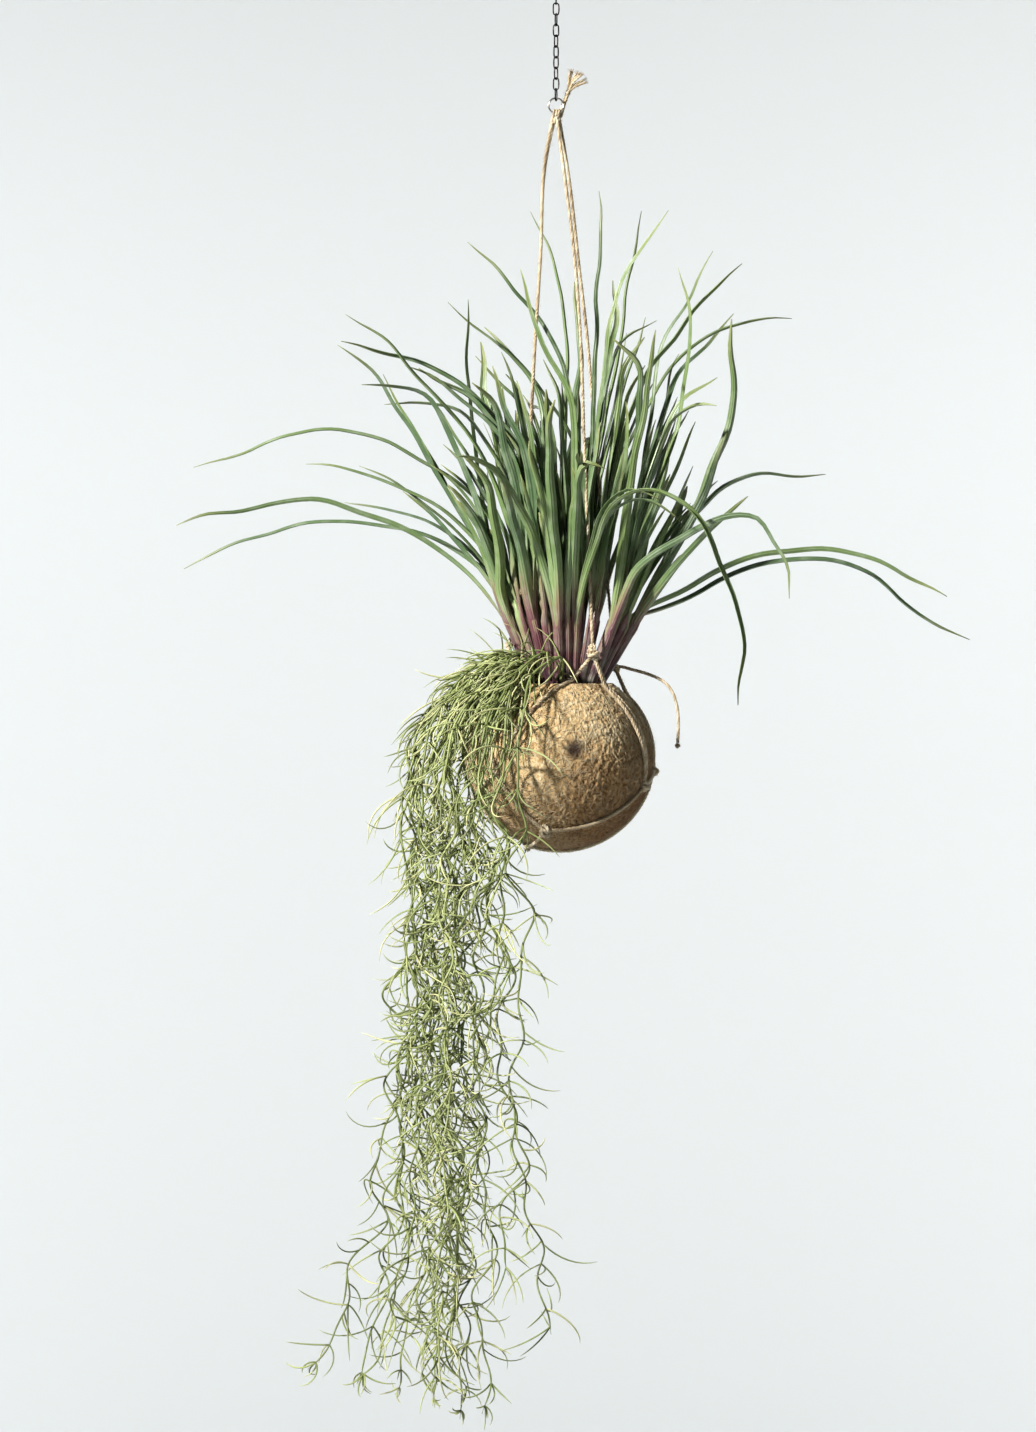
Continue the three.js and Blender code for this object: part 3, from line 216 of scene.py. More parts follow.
# -------------------------------------------------------------------------------------- materials
def add_node(
    tree: bpy.types.NodeTree,
    kind: str,
    sockets: dict[str, object] | Sequence[object] = (),
    stops: Sequence[tuple[float, str]] = (),
    **settings: object,
) -> bpy.types.Node:
    """Add a node with its settings, values and links.

    Args:
        tree: the material's node tree.
        kind: the node's type name without "ShaderNode".
        sockets: what its inputs get, by name or in their order: a value, an output to link, or a
            node, which stands for its first output.
        stops: for a colour ramp, its places and hex colours.
        **settings: the node's own properties.

    Returns:
        The new node.
    """
    made = tree.nodes.new(f"ShaderNode{kind}")
    for name, value in settings.items():
        setattr(made, name, value)
    for index, (place, colour) in enumerate(stops):
        elements = made.color_ramp.elements
        stop = elements[index] if index < 2 else elements.new(place)
        stop.position = place
        stop.color = linear(colour)
    free = [socket for socket in made.inputs if socket.enabled]
    for key, value in sockets.items() if isinstance(sockets, dict) else enumerate(sockets):
        slot = free[key] if isinstance(key, int) else made.inputs[key]
        if isinstance(value, bpy.types.Node):
            value = next(socket for socket in value.outputs if socket.enabled)
        if isinstance(value, bpy.types.NodeSocket):
            tree.links.new(value, slot)
        else:
            slot.default_value = value
    return made


@dataclass(frozen=True)
class Finish:
    """A finish, named for what it is: `shade` says what it gives the eye, in patterns of real size."""

    name: str = ""
    slot: Slot | None = None

    def shade(self, node: Maker) -> dict[str, object]:
        """Set up the pattern.

        Args:
            node: adds a node to the material's tree.

        Returns:
            The surface shader's values and links.
        """
        raise NotImplementedError

    def material(self) -> Material:
        """Build the material, once: the pattern, the surface shader and the output.

        Returns:
            The material.
        """
        made = bpy.data.materials.get(self.name)
        if made:
            return made
        made = bpy.data.materials.new(self.name)
        made.use_nodes = True
        made.node_tree.nodes.clear()
        node = partial(add_node, made.node_tree)
        node("OutputMaterial", [node("BsdfPrincipled", self.shade(node))])
        return made


@dataclass(frozen=True)
class BlackenedSteel(Finish):
    """Mild steel wire, blackened in oil and handled: dark, with brighter rubbed places."""

    name: str = "blackened_mild_steel_wire"
    slot: Slot = Slot.DARK_STEEL
    dark: str = "#120f11"
    worn: str = "#433c3a"
    wear_size: float = 0.004
    scratch_size: float = 0.0006

    def shade(self, node: Maker) -> dict[str, object]:
        """Wear in 4 mm patches, brighter and glossier, and draw marks 0.6 mm apart.

        Args:
            node: adds a node to the material's tree.

        Returns:
            The surface shader's values and links.
        """
        place = node("TexCoord").outputs["Object"]
        patches = node("TexNoise", (place, 1 / self.wear_size, 4.0))
        marks = node("TexNoise", (place, 1 / self.scratch_size))
        return {
            "Base Color": node("ValToRGB", [patches], ((0.42, self.dark), (0.72, self.worn))),
            "Metallic": 1.0,
            "Roughness": node("MapRange", (patches, 0.0, 1.0, 0.5, 0.28)),
            "Normal": node("Bump", {"Strength": 0.35, "Distance": 0.0001, "Height": marks}),
        }


@dataclass(frozen=True)
class NickelPlate(Finish):
    """Spring steel strip, nickel plated: bright, with fine rub marks."""

    name: str = "nickel_plated_spring_steel"
    slot: Slot = Slot.NICKEL
    base: str = "#cdc9c2"
    dull: str = "#a39e95"
    mark_size: float = 0.0012

    def shade(self, node: Maker) -> dict[str, object]:
        """Rub marks of 1.2 mm that dull the plating a little.

        Args:
            node: adds a node to the material's tree.

        Returns:
            The surface shader's values and links.
        """
        place = node("TexCoord").outputs["Object"]
        marks = node("TexNoise", (place, 1 / self.mark_size, 3.0))
        return {
            "Base Color": node("ValToRGB", [marks], ((0.35, self.dull), (0.6, self.base))),
            "Metallic": 1.0,
            "Roughness": node("MapRange", (marks, 0.0, 1.0, 0.32, 0.14)),
            "Normal": node("Bump", {"Strength": 0.15, "Distance": 0.00005, "Height": marks}),
        }


@dataclass(frozen=True)
class JuteYarn(Finish):
    """Natural jute, spun and laid in plies: matt, golden, streaked along the yarn."""

    name: str = "natural_jute_spun_twine"
    slot: Slot = Slot.JUTE
    pale: str = "#c8bea6"
    middle: str = "#a8987a"
    deep: str = "#5c4932"
    fibre_width: float = 0.00025
    patch_size: float = 0.02

    def shade(self, node: Maker) -> dict[str, object]:
        """Fibres 0.25 mm wide, 20 mm drifts of shade, and the mark's third number: each ply's tone.

        Args:
            node: adds a node to the material's tree.

        Returns:
            The surface shader's values and links.
        """
        mark = node("Attribute", attribute_name="mark").outputs["Vector"]
        tone = node("SeparateXYZ", [mark]).outputs["Z"]
        place = node("TexCoord").outputs["Object"]
        drift = node("TexNoise", (place, 1 / self.patch_size, 3.0))
        fibres = node("TexNoise", (place, 0.35 / self.fibre_width, 5.0, 0.7))
        shade = node("Math", (fibres, drift), operation="ADD")
        toned = node("Math", (tone, 0.42, shade), operation="MULTIPLY_ADD")
        spread = node("MapRange", (toned, 0.78, 1.62))
        ramp = ((0.05, self.deep), (0.9, self.pale), (0.45, self.middle))
        return {
            "Base Color": node("ValToRGB", [spread], ramp),
            "Roughness": 0.86,
            "IOR": 1.5,
            "Specular IOR Level": 0.25,
            "Sheen Weight": 0.25,
            "Sheen Roughness": 0.5,
            "Subsurface Weight": 0.1,
            "Subsurface Radius": (0.002, 0.0012, 0.0006),
            "Normal": node("Bump", {"Strength": 0.8, "Distance": 0.0003, "Height": fibres}),
        }


@dataclass(frozen=True)
class PressedFibre(Finish):
    """Coir and paper pulp, pressed by hand over a mould: rough, dry, tan, with painted shade in its hollows
    and over its lower right.
    """

    name: str = "pressed_coir_and_pulp"
    slot: Slot = Slot.FIBRE
    lit: str = "#bfb699"
    body: str = "#a98f64"
    # painted shade: the colour of hollows, also the dark end of random tone
    hollow_shade_and_tone: str = "#573815"
    stain: str = "#2e211a"
    # painted shade: brown laid over the lower right, the side turned from the key light
    painted_shade: str = "#653f19"
    dab_size: float = 0.0028
    grain_size: float = 0.0008
    patch_size: float = 0.045
    stain_at: Place = (0.012, -0.0658, -0.5607)
    stain_size: float = 0.0077
    painted_shade_way: Place = (-0.62, -0.05, 0.78)
    painted_shade_from: float = -0.422
    painted_shade_to: float = -0.505

    def shade(self, node: Maker) -> dict[str, object]:
        """Patches of 45 mm, dabs of 2.8 mm, 0.8 mm grain, a stain, and painted shade over the lower right.

        The share is how far a place stands out of the skin; hollows are painted darker as painted shade,
        mixed with random tone.

        Args:
            node: adds a node to the material's tree.

        Returns:
            The surface shader's values and links.
        """
        place = node("TexCoord").outputs["Object"]
        height = node("Attribute", attribute_name="share").outputs["Fac"]
        patch = node("TexNoise", (place, 1 / self.patch_size, 4.0))
        dabs = node("TexNoise", (place, 1 / self.dab_size, 6.0, 0.65))
        grain = node("TexNoise", (place, 1 / self.grain_size, 3.0))
        # painted shade: the relief's share darkens hollows; the noise layers add random tone
        height = node("Math", (height, 0.9, dabs), operation="MULTIPLY_ADD")
        for layer, weight in ((grain, 0.35), (patch, 0.5)):
            height = node("Math", (layer, weight, height), operation="MULTIPLY_ADD")
        spread = node("MapRange", (height, 1.0, 1.74))
        colour = node("ValToRGB", [spread], ((0.0, self.hollow_shade_and_tone), (1.0, self.lit), (0.5, self.body)))
        away = node("VectorMath", (place, self.stain_at), operation="DISTANCE")
        edge = node("Math", (dabs, 0.005, away), operation="MULTIPLY_ADD")
        wet = node("MapRange", (edge, self.stain_size * 0.7, self.stain_size * 1.6, 0.97, 0.0))
        # painted shade: darker towards the lower right, away from the key light
        part = node("VectorMath", (place, self.painted_shade_way), operation="DOT_PRODUCT")
        low = node("Math", (patch, 0.03, part), operation="MULTIPLY_ADD")
        foot = node("MapRange", (low, self.painted_shade_from, self.painted_shade_to, 0.0, 0.95))
        # the painted shade (foot) and the real stain (wet) are mixed over the colour
        for share, tint in ((foot, self.painted_shade), (wet, self.stain)):
            colour = node("Mix", (share, colour, linear(tint)), data_type="RGBA")
        fine = node("Math", (grain, 0.5, dabs), operation="MULTIPLY_ADD")
        return {
            "Base Color": colour,
            "Roughness": 0.92,
            "IOR": 1.5,
            "Specular IOR Level": 0.2,
            "Sheen Weight": 0.1,
            "Normal": node("Bump", {"Strength": 0.9, "Distance": 0.0012, "Height": fine}),
        }


@dataclass(frozen=True)
class PottingMix(Finish):
    """Peat and coir crumbs, watered in: dark brown, matt, with paler flecks."""

    name: str = "peat_and_coir_mix"
    slot: Slot = Slot.SOIL
    dark: str = "#241811"
    middle: str = "#4a3423"
    fleck: str = "#8a6a45"
    crumb_size: float = 0.0025

    def shade(self, node: Maker) -> dict[str, object]:
        """Crumbs of 2.5 mm in three browns, toned by the mark's third number.

        Args:
            node: adds a node to the material's tree.

        Returns:
            The surface shader's values and links.
        """
        place = node("TexCoord").outputs["Object"]
        mark = node("Attribute", attribute_name="mark").outputs["Vector"]
        crumbs = node("TexNoise", (place, 1 / self.crumb_size, 5.0, 0.7))
        tone = node("SeparateXYZ", [mark]).outputs["Z"]
        mixed = node("Math", (tone, 0.35, crumbs), operation="MULTIPLY_ADD")
        ramp = ((0.4, self.dark), (0.95, self.fleck), (0.65, self.middle))
        return {
            "Base Color": node("ValToRGB", [mixed], ramp),
            "Roughness": 0.95,
            "Specular IOR Level": 0.15,
            "Normal": node("Bump", {"Strength": 1.0, "Distance": 0.001, "Height": crumbs}),
        }


@dataclass(frozen=True)
class GrassLeaf(Finish):
    """A strap leaf, waxy and ribbed: wine-red at the sheath, cream, then cool green."""

    name: str = "strap_leaf_waxy_ribbed"
    slot: Slot = Slot.GRASS
    heights: tuple[tuple[float, str], ...] = (
        (0.0, "#38212a"), (1.0, "#506640"), (0.16, "#573339"), (0.34, "#714e52"),
        (0.5, "#7a7255"), (0.62, "#7f8f63"), (0.8, "#637d50"),
    )  # fmt: skip
    low: float = 0.006
    reach: float = 0.13
    cool: str = "#3a5239"
    warm: str = "#72884c"
    # a waxy bloom, partly a painted blue-grey highlight
    bloom_and_sheen: str = "#a3b09a"
    tip: str = "#8a8c50"
    ribs: float = 4.0
    streaks: Place = (2.6, 9.0, 53.0)
    bloom_and_sheen_size: float = 0.012

    def shade(self, node: Maker) -> dict[str, object]:
        """Colour by height in streaks, a tone for each leaf, a dry tip, ribs, and a waxy bloom that also
        paints in blue-grey highlights.

        The mark is the place across from -1 to 1, the metres from the foot, and the leaf's tone.

        Args:
            node: adds a node to the material's tree.

        Returns:
            The surface shader's values and links.
        """
        mark = node("Attribute", attribute_name="mark").outputs["Vector"]
        across, up, tone = node("SeparateXYZ", [mark]).outputs
        share = node("Attribute", attribute_name="share").outputs["Fac"]
        place = node("TexCoord").outputs["Object"]
        mottle = node("TexNoise", (place, 1 / self.bloom_and_sheen_size, 3.0))
        drawn = node("VectorMath", (mark, self.streaks), operation="MULTIPLY")
        ragged = node("Math", (node("TexNoise", (drawn, 1.0, 3.0)), 0.09, up), operation="MULTIPLY_ADD")
        lifted = node("Math", (tone, 0.03, ragged), operation="MULTIPLY_ADD")
        height = node("MapRange", (lifted, self.low + 0.06, self.reach + 0.06))
        colour = node("ValToRGB", [height], self.heights)
        leaf = node("ValToRGB", [tone], ((0.1, self.cool), (0.9, self.warm)))
        green = node("MapRange", (height, 0.5, 0.8, 0.0, 0.55))
        end = node("MapRange", (share, 0.86, 1.0, 0.0, 0.6))
        # painted highlight: pale blue-grey patches, partly a real waxy bloom
        waxy = node("MapRange", (mottle, 0.45, 0.75, 0.0, 0.3))
        for much, tint in ((green, leaf), (end, linear(self.tip)), (waxy, linear(self.bloom_and_sheen))):
            colour = node("Mix", (much, colour, tint), data_type="RGBA")
        turns = node("Math", (across, self.ribs * math.pi), operation="MULTIPLY")
        rib = node("Math", [turns], operation="COSINE")
        ribbed = node("MapRange", (rib, -1.0, 1.0, 0.86, 1.04))
        return {
            "Base Color": node("VectorMath", (colour, ribbed), operation="SCALE"),
            "Roughness": 0.4,
            "IOR": 1.45,
            "Specular IOR Level": 0.55,
            "Subsurface Weight": 0.12,
            "Subsurface Radius": (0.001, 0.002, 0.0005),
            "Normal": node("Bump", {"Strength": 0.5, "Distance": 0.0003, "Height": rib}),
        }


@dataclass(frozen=True)
class SprayNeedle(Finish):
    """A moulded needle of soft plastic with a powdery coat: pale yellow-green, deeper at its foot."""

    name: str = "soft_needle_powdered"
    slot: Slot = Slot.SPRAY
    foot: str = "#434e22"
    body: str = "#86935a"
    tip: str = "#bdc292"
    # painted shade: the dark end of the needles' random tone stands in for needles in shade
    dark: str = "#2c3715"
    straw: str = "#c4c194"
    patch_size: float = 0.03
    grain_size: float = 1 / 1400

    def shade(self, node: Maker) -> dict[str, object]:
        """Darker foot, pale tip, a tone for each needle whose dark end is painted shade, 30 mm drifts and a
        powdery 0.7 mm grain.

        Args:
            node: adds a node to the material's tree.

        Returns:
            The surface shader's values and links.
        """
        mark = node("Attribute", attribute_name="mark").outputs["Vector"]
        tone = node("SeparateXYZ", [mark]).outputs["Z"]
        share = node("Attribute", attribute_name="share").outputs["Fac"]
        place = node("TexCoord").outputs["Object"]
        along = node("ValToRGB", [share], ((0.0, self.foot), (1.0, self.tip), (0.35, self.body)))
        # random tone for each needle; its dark end is painted shade
        own = node("ValToRGB", [tone], ((0.0, self.dark), (1.0, self.straw), (0.58, self.body)))
        toned = node("Mix", (0.62, along, own), data_type="RGBA")
        drift = node("TexNoise", (place, 1 / self.patch_size, 4.0))
        depth = node("MapRange", (drift, 0.3, 0.7, 0.78, 1.08))
        grain = node("TexNoise", (place, 1 / self.grain_size))
        return {
            "Base Color": node("VectorMath", (toned, depth), operation="SCALE"),
            "Roughness": 0.5,
            "IOR": 1.46,
            "Specular IOR Level": 0.4,
            "Subsurface Weight": 0.05,
            "Subsurface Radius": (0.001, 0.0015, 0.0004),
            "Normal": node("Bump", {"Strength": 0.25, "Distance": 0.0001, "Height": grain}),
        }


@dataclass(frozen=True)
class StudioPaper(Finish):
    """Seamless studio paper: pale, matt, faintly toothed."""

    name: str = "seamless_studio_paper"
    base: str = "#cfd3d4"
    tooth_scale: float = 300.0

    def shade(self, node: Maker) -> dict[str, object]:
        """A faint tooth of 3 mm.

        Args:
            node: adds a node to the material's tree.

        Returns:
            The surface shader's values and links.
        """
        place = node("TexCoord").outputs["Object"]
        tooth = node("TexNoise", (place, self.tooth_scale))
        bump = node("Bump", {"Strength": 0.05, "Distance": 0.0005, "Height": tooth})
        return {"Base Color": linear(self.base), "Roughness": 0.9, "Normal": bump}


# ------------------------------------------------------------------------------------------ shapes
@dataclass
class Shape:
    """A mesh gathered from many small closed bodies, and the random numbers they are drawn with.

    Each vertex carries a mark of three numbers and a share from 0 to 1 for its material to read.
    """

    seed: int | np.random.Generator = 0
    points: list[np.ndarray] = field(default_factory=list)
    faces: list[np.ndarray] = field(default_factory=list)
    marks: list[np.ndarray] = field(default_factory=list)
    shares: list[np.ndarray] = field(default_factory=list)
    count: int = 0

    def __post_init__(self) -> None:
        """Start the random numbers, or go on with another shape's."""
        self.rng = np.random.default_rng(self.seed)

    def sideways(self, ahead: np.ndarray) -> np.ndarray:
        """Draw random directions square to the given headings."""
        return square(self.rng.normal(size=ahead.shape), ahead)

    def add(
        self,
        points: np.ndarray,
        faces: Sequence[np.ndarray],
        marks: np.ndarray | Place = (0.0, 0.0, 0.0),
        share: np.ndarray | float = 0.0,
    ) -> None:
        """Add a body.

        Args:
            points: its vertices (n, 3).
            faces: arrays of faces, all with one number of corners in each array.
            marks: one mark, or a mark for each vertex (n, 3).
            share: one share, or a share for each vertex (n,).
        """
        self.points.append(points)
        self.faces.extend(face + self.count for face in faces)
        self.marks.append(np.broadcast_to(marks, points.shape))
        self.shares.append(np.broadcast_to(share, len(points)))
        self.count += len(points)

    def tubes(
        self,
        lines: np.ndarray,
        radii: np.ndarray,
        sides: int,
        side: np.ndarray,
        tone: np.ndarray,
        flat: float = 1.0,
        share: float | None = None,
    ) -> None:
        """Add round rods along many lines with the same number of points.

        Args:
            lines: the lines (n, r, 3).
            radii: radius along a line, (r,) or (n, r).
            sides: corners of the section.
            side: a direction not along the line, (n, 3) or (n, r, 3).
            tone: a random number for each line (n,).
            flat: thickness of the section over its width.
            share: one share for all; it grows from 0 to 1 along a line by default.
        """
        n, r, _ = lines.shape
        ahead = unit(np.gradient(lines, axis=1))
        across = square(np.broadcast_to(side if side.ndim == 3 else side[:, None, :], lines.shape), ahead)
        back = np.cross(ahead, across)
        turn = TAU * np.arange(sides) / sides
        size = np.broadcast_to(radii, (n, r))[:, :, None, None]
        spread = across[:, :, None, :] * np.cos(turn)[:, None]
        spread = spread + back[:, :, None, :] * (np.sin(turn) * flat)[:, None]
        points = (lines[:, :, None, :] + size * spread).reshape(-1, 3)
        first = (np.arange(n) * r * sides)[:, None]
        quads = (first[:, :, None] + lattice(r, sides)).reshape(-1, 4)
        foot, top = first + np.arange(sides)[::-1], first + (r - 1) * sides + np.arange(sides)
        marks = np.zeros((n, r, sides, 3))
        marks[:, 1:, :, 0] = np.cumsum(np.linalg.norm(np.diff(lines, axis=1), axis=2), axis=1)[:, :, None]
        marks[..., 1] = np.arange(sides) / sides
        marks[..., 2] = tone[:, None, None]
        along = np.arange(r)[:, None] / (r - 1) if share is None else share
        shares = np.broadcast_to(along, (n, r, sides)).reshape(-1)
        self.add(points, [quads, foot, top], marks.reshape(-1, 3), shares)

    def make(self, name: str, finish: Finish, weld: bool = False) -> bpy.types.Object:
        """Make the object, smooth-shaded and in the scene.

        Args:
            name: the object's name.
            finish: what it is made of.
            weld: whether corners in one place are joined, as at a pole.

        Returns:
            The new object.
        """
        mesh = bpy.data.meshes.new(name)
        points = np.concatenate(self.points).astype(np.float32)
        corners = np.concatenate([face.ravel() for face in self.faces]).astype(np.int32)
        sizes = np.concatenate([np.full(len(face), face.shape[1]) for face in self.faces])
        mesh.vertices.add(len(points))
        mesh.vertices.foreach_set("co", points.ravel())
        mesh.loops.add(len(corners))
        mesh.loops.foreach_set("vertex_index", corners)
        mesh.polygons.add(len(sizes))
        starts = np.concatenate(([0], np.cumsum(sizes)[:-1])).astype(np.int32)
        mesh.polygons.foreach_set("loop_start", starts)
        mesh.polygons.foreach_set("use_smooth", np.ones(len(sizes), bool))
        mesh.update(calc_edges=True)
        layers = (("mark", "FLOAT_VECTOR", "vector", self.marks), ("share", "FLOAT", "value", self.shares))
        for label, kind, part, values in layers:
            flat = np.concatenate(values).astype(np.float32).ravel()
            mesh.attributes.new(label, kind, "POINT").data.foreach_set(part, flat)
        mesh.materials.append(finish.material())
        mesh.validate()
        made = placed(name, mesh)
        if weld:
            made.modifiers.new("close_poles", "WELD").merge_threshold = WELD_GAP
        return made

    def settle(self, name: str, finish: Finish, node: str = "", weld: bool = False) -> bpy.types.Object:
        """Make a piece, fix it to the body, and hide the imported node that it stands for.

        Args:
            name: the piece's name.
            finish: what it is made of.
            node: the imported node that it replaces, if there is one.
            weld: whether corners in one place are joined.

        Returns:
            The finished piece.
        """
        made = self.make(name, finish, weld)
        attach(made, BODY)
        if node:
            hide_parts(node)
        log.info("%s: %d vertices", name, len(made.data.vertices))
        return made


# ------------------------------------------------------------------------------------------ studio
@dataclass
class Lamp:
    """A soft box: its name, place, side length, power, colour and what it points at."""

    name: str
    place: Place
    size: float
    power: float
    colour: str = "#ffffff"
    aim: Place = (-0.02, 0.0, -0.53)


@dataclass
class Studio:
    """The camera, the lights and a round pale floor whose rim curves up."""

    centre: Place = (-0.0274, 0.0, -0.5378)
    view_height: float = 1.031
    distance: float = 2.6
    film: float = 24.0
    floor: float = -1.95
    floor_radius: float = 4.0
    rim_radius: float = 2.0
    wall: float = 3.0
    turns: int = 64
    lamps: tuple[Lamp, ...] = (
        Lamp("key", (-1.84, -1.62, 0.76), 0.17, 238.0, "#fffaf4"),
        Lamp("fill", (2.2, -2.0, -0.3), 2.4, 2.4, "#ffe8cc"),
        Lamp("top", (0.5, 0.7, 1.4), 1.4, 8.0, "#f6f9ff"),
        Lamp("backdrop_left", (-2.4, 2.6, 0.3), 1.8, 82.0, aim=(-1.2, 6.0, -0.4)),
        Lamp("backdrop_right", (2.4, 2.6, 0.3), 1.8, 82.0, aim=(1.2, 6.0, -0.4)),
    )
    sky: str = "#f6f6f2"
    sky_strength: float = 0.05

    def camera(self) -> None:
        """Set up the level camera that sees what the photograph shows."""
        data = bpy.data.cameras.new("photo_camera")
        data.sensor_fit = "VERTICAL"
        data.sensor_height = self.film
        data.lens = self.film * self.distance / self.view_height
        made = placed("photo_camera", data)
        made.location = (self.centre[0], -self.distance, self.centre[2])
        made.rotation_euler = (math.pi / 2, 0.0, 0.0)
        bpy.context.scene.camera = made

    def lights(self) -> None:
        """Hang the soft boxes and set the pale surroundings."""
        for lamp in self.lamps:
            data = bpy.data.lights.new(lamp.name, "AREA")
            data.size = lamp.size
            data.energy = lamp.power
            data.color = linear(lamp.colour)[:3]
            made = placed(lamp.name, data)
            made.location = lamp.place
            toward = Vector(lamp.aim) - Vector(lamp.place)
            made.rotation_euler = toward.to_track_quat("-Z", "Y").to_euler()
        world = bpy.data.worlds.new("pale_room")
        world.use_nodes = True
        shade = world.node_tree.nodes["Background"]
        shade.inputs["Color"].default_value = linear(self.sky)
        shade.inputs["Strength"].default_value = self.sky_strength
        bpy.context.scene.world = world
        bpy.context.scene.view_settings.view_transform = "Standard"

    def ground(self) -> None:
        """Turn the floor: a disc whose rim sweeps up into a low wall."""
        bend = np.linspace(0.0, math.pi / 2, 9)
        out = self.floor_radius + self.rim_radius * np.sin(bend)
        up = self.floor + self.rim_radius * (1 - np.cos(bend))
        outline = np.concatenate(([[0.02, self.floor]], np.stack([out, up], 1), [[out[-1], self.wall]]))
        shape = Shape()
        quads = lattice(len(outline), self.turns)[:, TURNED_OVER]
        shape.add(turned(outline, self.turns), [quads, np.arange(self.turns)[None]])
        shape.make("studio_floor", StudioPaper())


# ------------------------------------------------------------------------------------------- twine
@dataclass
class Twine(Shape):
    """Three-ply jute twine and its stray hairs, laid up into one piece."""

    radius: float = 0.0012
    plies: int = 3
    ply_radius: float = 0.00066
    lay: float = 0.0085
    step: float = 0.0011
    sides: int = 6
    hairs: float = 1900.0
    hair_radius: float = 0.00005
    hair_length: Range = (0.0012, 0.0046)
    frays: int = 34
    fray_length: Range = (0.002, 0.0042)

    def lay_up(self, line: Line, thick: float = 1.0) -> None:
        """Lay three plies round a line and let hairs stand off them.

        Args:
            line: the middle of the twine.
            thick: scale on the twine's thickness.
        """
        fine = smooth(line, max(8, round(run_of(line)[-1] / self.step)))
        ahead, side, back = transported(fine)
        run = run_of(fine)
        wander = 1 + 0.08 * np.sin(run / 0.013 + self.rng.uniform(*PHASE))
        off = (self.radius - self.ply_radius) * thick * 1.06
        phase = self.rng.uniform(0, TAU)
        strands = []
        for ply in range(self.plies):
            turn = phase + TAU * (ply / self.plies + run / self.lay)
            spread = side * np.cos(turn)[:, None] + back * np.sin(turn)[:, None]
            strands.append(fine + spread * off)
        sides = np.broadcast_to(side, (self.plies, *side.shape))
        size = self.ply_radius * thick * wander
        self.tubes(np.array(strands), size, self.sides, sides, self.rng.random(self.plies))
        self.fuzz(fine, ahead, self.radius * thick)

    def fuzz(self, line: Line, ahead: Line, radius: float) -> None:
        """Stand short curved hairs off a line.

        Args:
            line: the middle of the twine.
            ahead: its headings.
            radius: the twine's radius.
        """
        rng = self.rng
        count = round(run_of(line)[-1] * self.hairs)
        at = rng.integers(0, len(line), count)
        out = self.sideways(ahead[at])
        long = rng.uniform(*self.hair_length, count)[:, None] * rng.uniform(0.4, 1, count)[:, None]
        lean = ahead[at] * rng.normal(0, 0.9, count)[:, None]
        foot = line[at] + out * radius * 0.75
        middle = foot + unit(out * 0.7 + lean) * long * 0.5
        tip = middle + unit(out * 0.5 + lean * 0.8 + rng.normal(0, 0.45, (count, 3))) * long * 0.5
        radii = self.hair_radius * np.array((1.0, 0.8, 0.35))
        lines = np.stack([foot, middle, tip], axis=1)
        self.tubes(lines, radii, 3, self.sideways(unit(tip - foot)), rng.random(count))

    def fray(self, line: Line) -> None:
        """Open a cut end into a small brush of fibres.

        Args:
            line: the twine's middle, ending at the cut.
        """
        way = unit(line[-1] - line[-3])
        ahead = np.broadcast_to(way, (self.frays, 3))
        out = self.sideways(ahead) * self.rng.uniform(0.05, 0.55, self.frays)[:, None]
        foot = line[-1] - way * 0.001 + out * 0.0008
        long = self.rng.uniform(*self.fray_length, self.frays)[:, None]
        middle = foot + unit(ahead + out * 0.6) * long * 0.5
        tip = middle + unit(ahead + out * 1.6) * long * 0.5
        radii = self.hair_radius * np.array((2.0, 1.6, 0.8))
        lines = np.stack([foot, middle, tip], axis=1)
        self.tubes(lines, radii, 3, self.sideways(ahead), self.rng.random(self.frays))

    def knot(self, centre: Line, size: float, thick: float) -> None:
        """Tie a small round knot: twine wound twice and thrice about itself.

        Args:
            centre: the middle of the knot.
            size: its outer radius.
            thick: scale on the twine's thickness.
        """
        t = np.linspace(0, TAU * 0.99, 56)
        core = max(size - self.radius * thick, self.radius)
        ring, tube = core * 0.62, core * 0.42
        reach = ring + tube * np.cos(3 * t)
        flat = np.stack([reach * np.cos(2 * t), reach * np.sin(2 * t), tube * 1.5 * np.sin(3 * t)], 1)
        axes = np.linalg.qr(self.rng.normal(size=(3, 3)))[0]
        self.lay_up(flat @ axes + centre, thick)


@dataclass
class LooseTail:
    """The twine's one free end, over and down from the right shoulder knot, and its end knot."""

    route: tuple[Place, ...] = (
        (43.77, 17.55, 13.2), (48, 16, 12.4), (52, 14.6, 11.2), (57, 13.2, 9.8), (62, 12, 8.4),
        (67, 10.9, 6.6), (72, 10, 4.4), (76.4, 9.3, 1.6), (80, 8.7, -2.2), (82.8, 8.2, -7),
        (84.6, 7.8, -12.4), (85.8, 7.5, -18), (86.3, 7.3, -24), (86.4, 7.1, -30), (86.2, 7, -36),
        (85.8, 7, -42),
    )  # fmt: skip
    knot_radius: float = 0.0022
    hair_length: Range = (0.001, 0.0024)

    def build(self) -> None:
        points = planted(self.route)
        tail = Twine(3, hair_length=self.hair_length)
        tail.lay_up(points)
        made = tail.settle("loose_tail_twine", JuteYarn(), "loose_tail")
        end = Twine(tail.rng)
        below = points[-1] + np.array((0.0, 0.0, -self.knot_radius))
        for thick in (0.8, 0.7):
            end.knot(below, self.knot_radius, thick)
        tied = end.settle("loose_tail_end_knot", JuteYarn(), "loose_tail_knot")


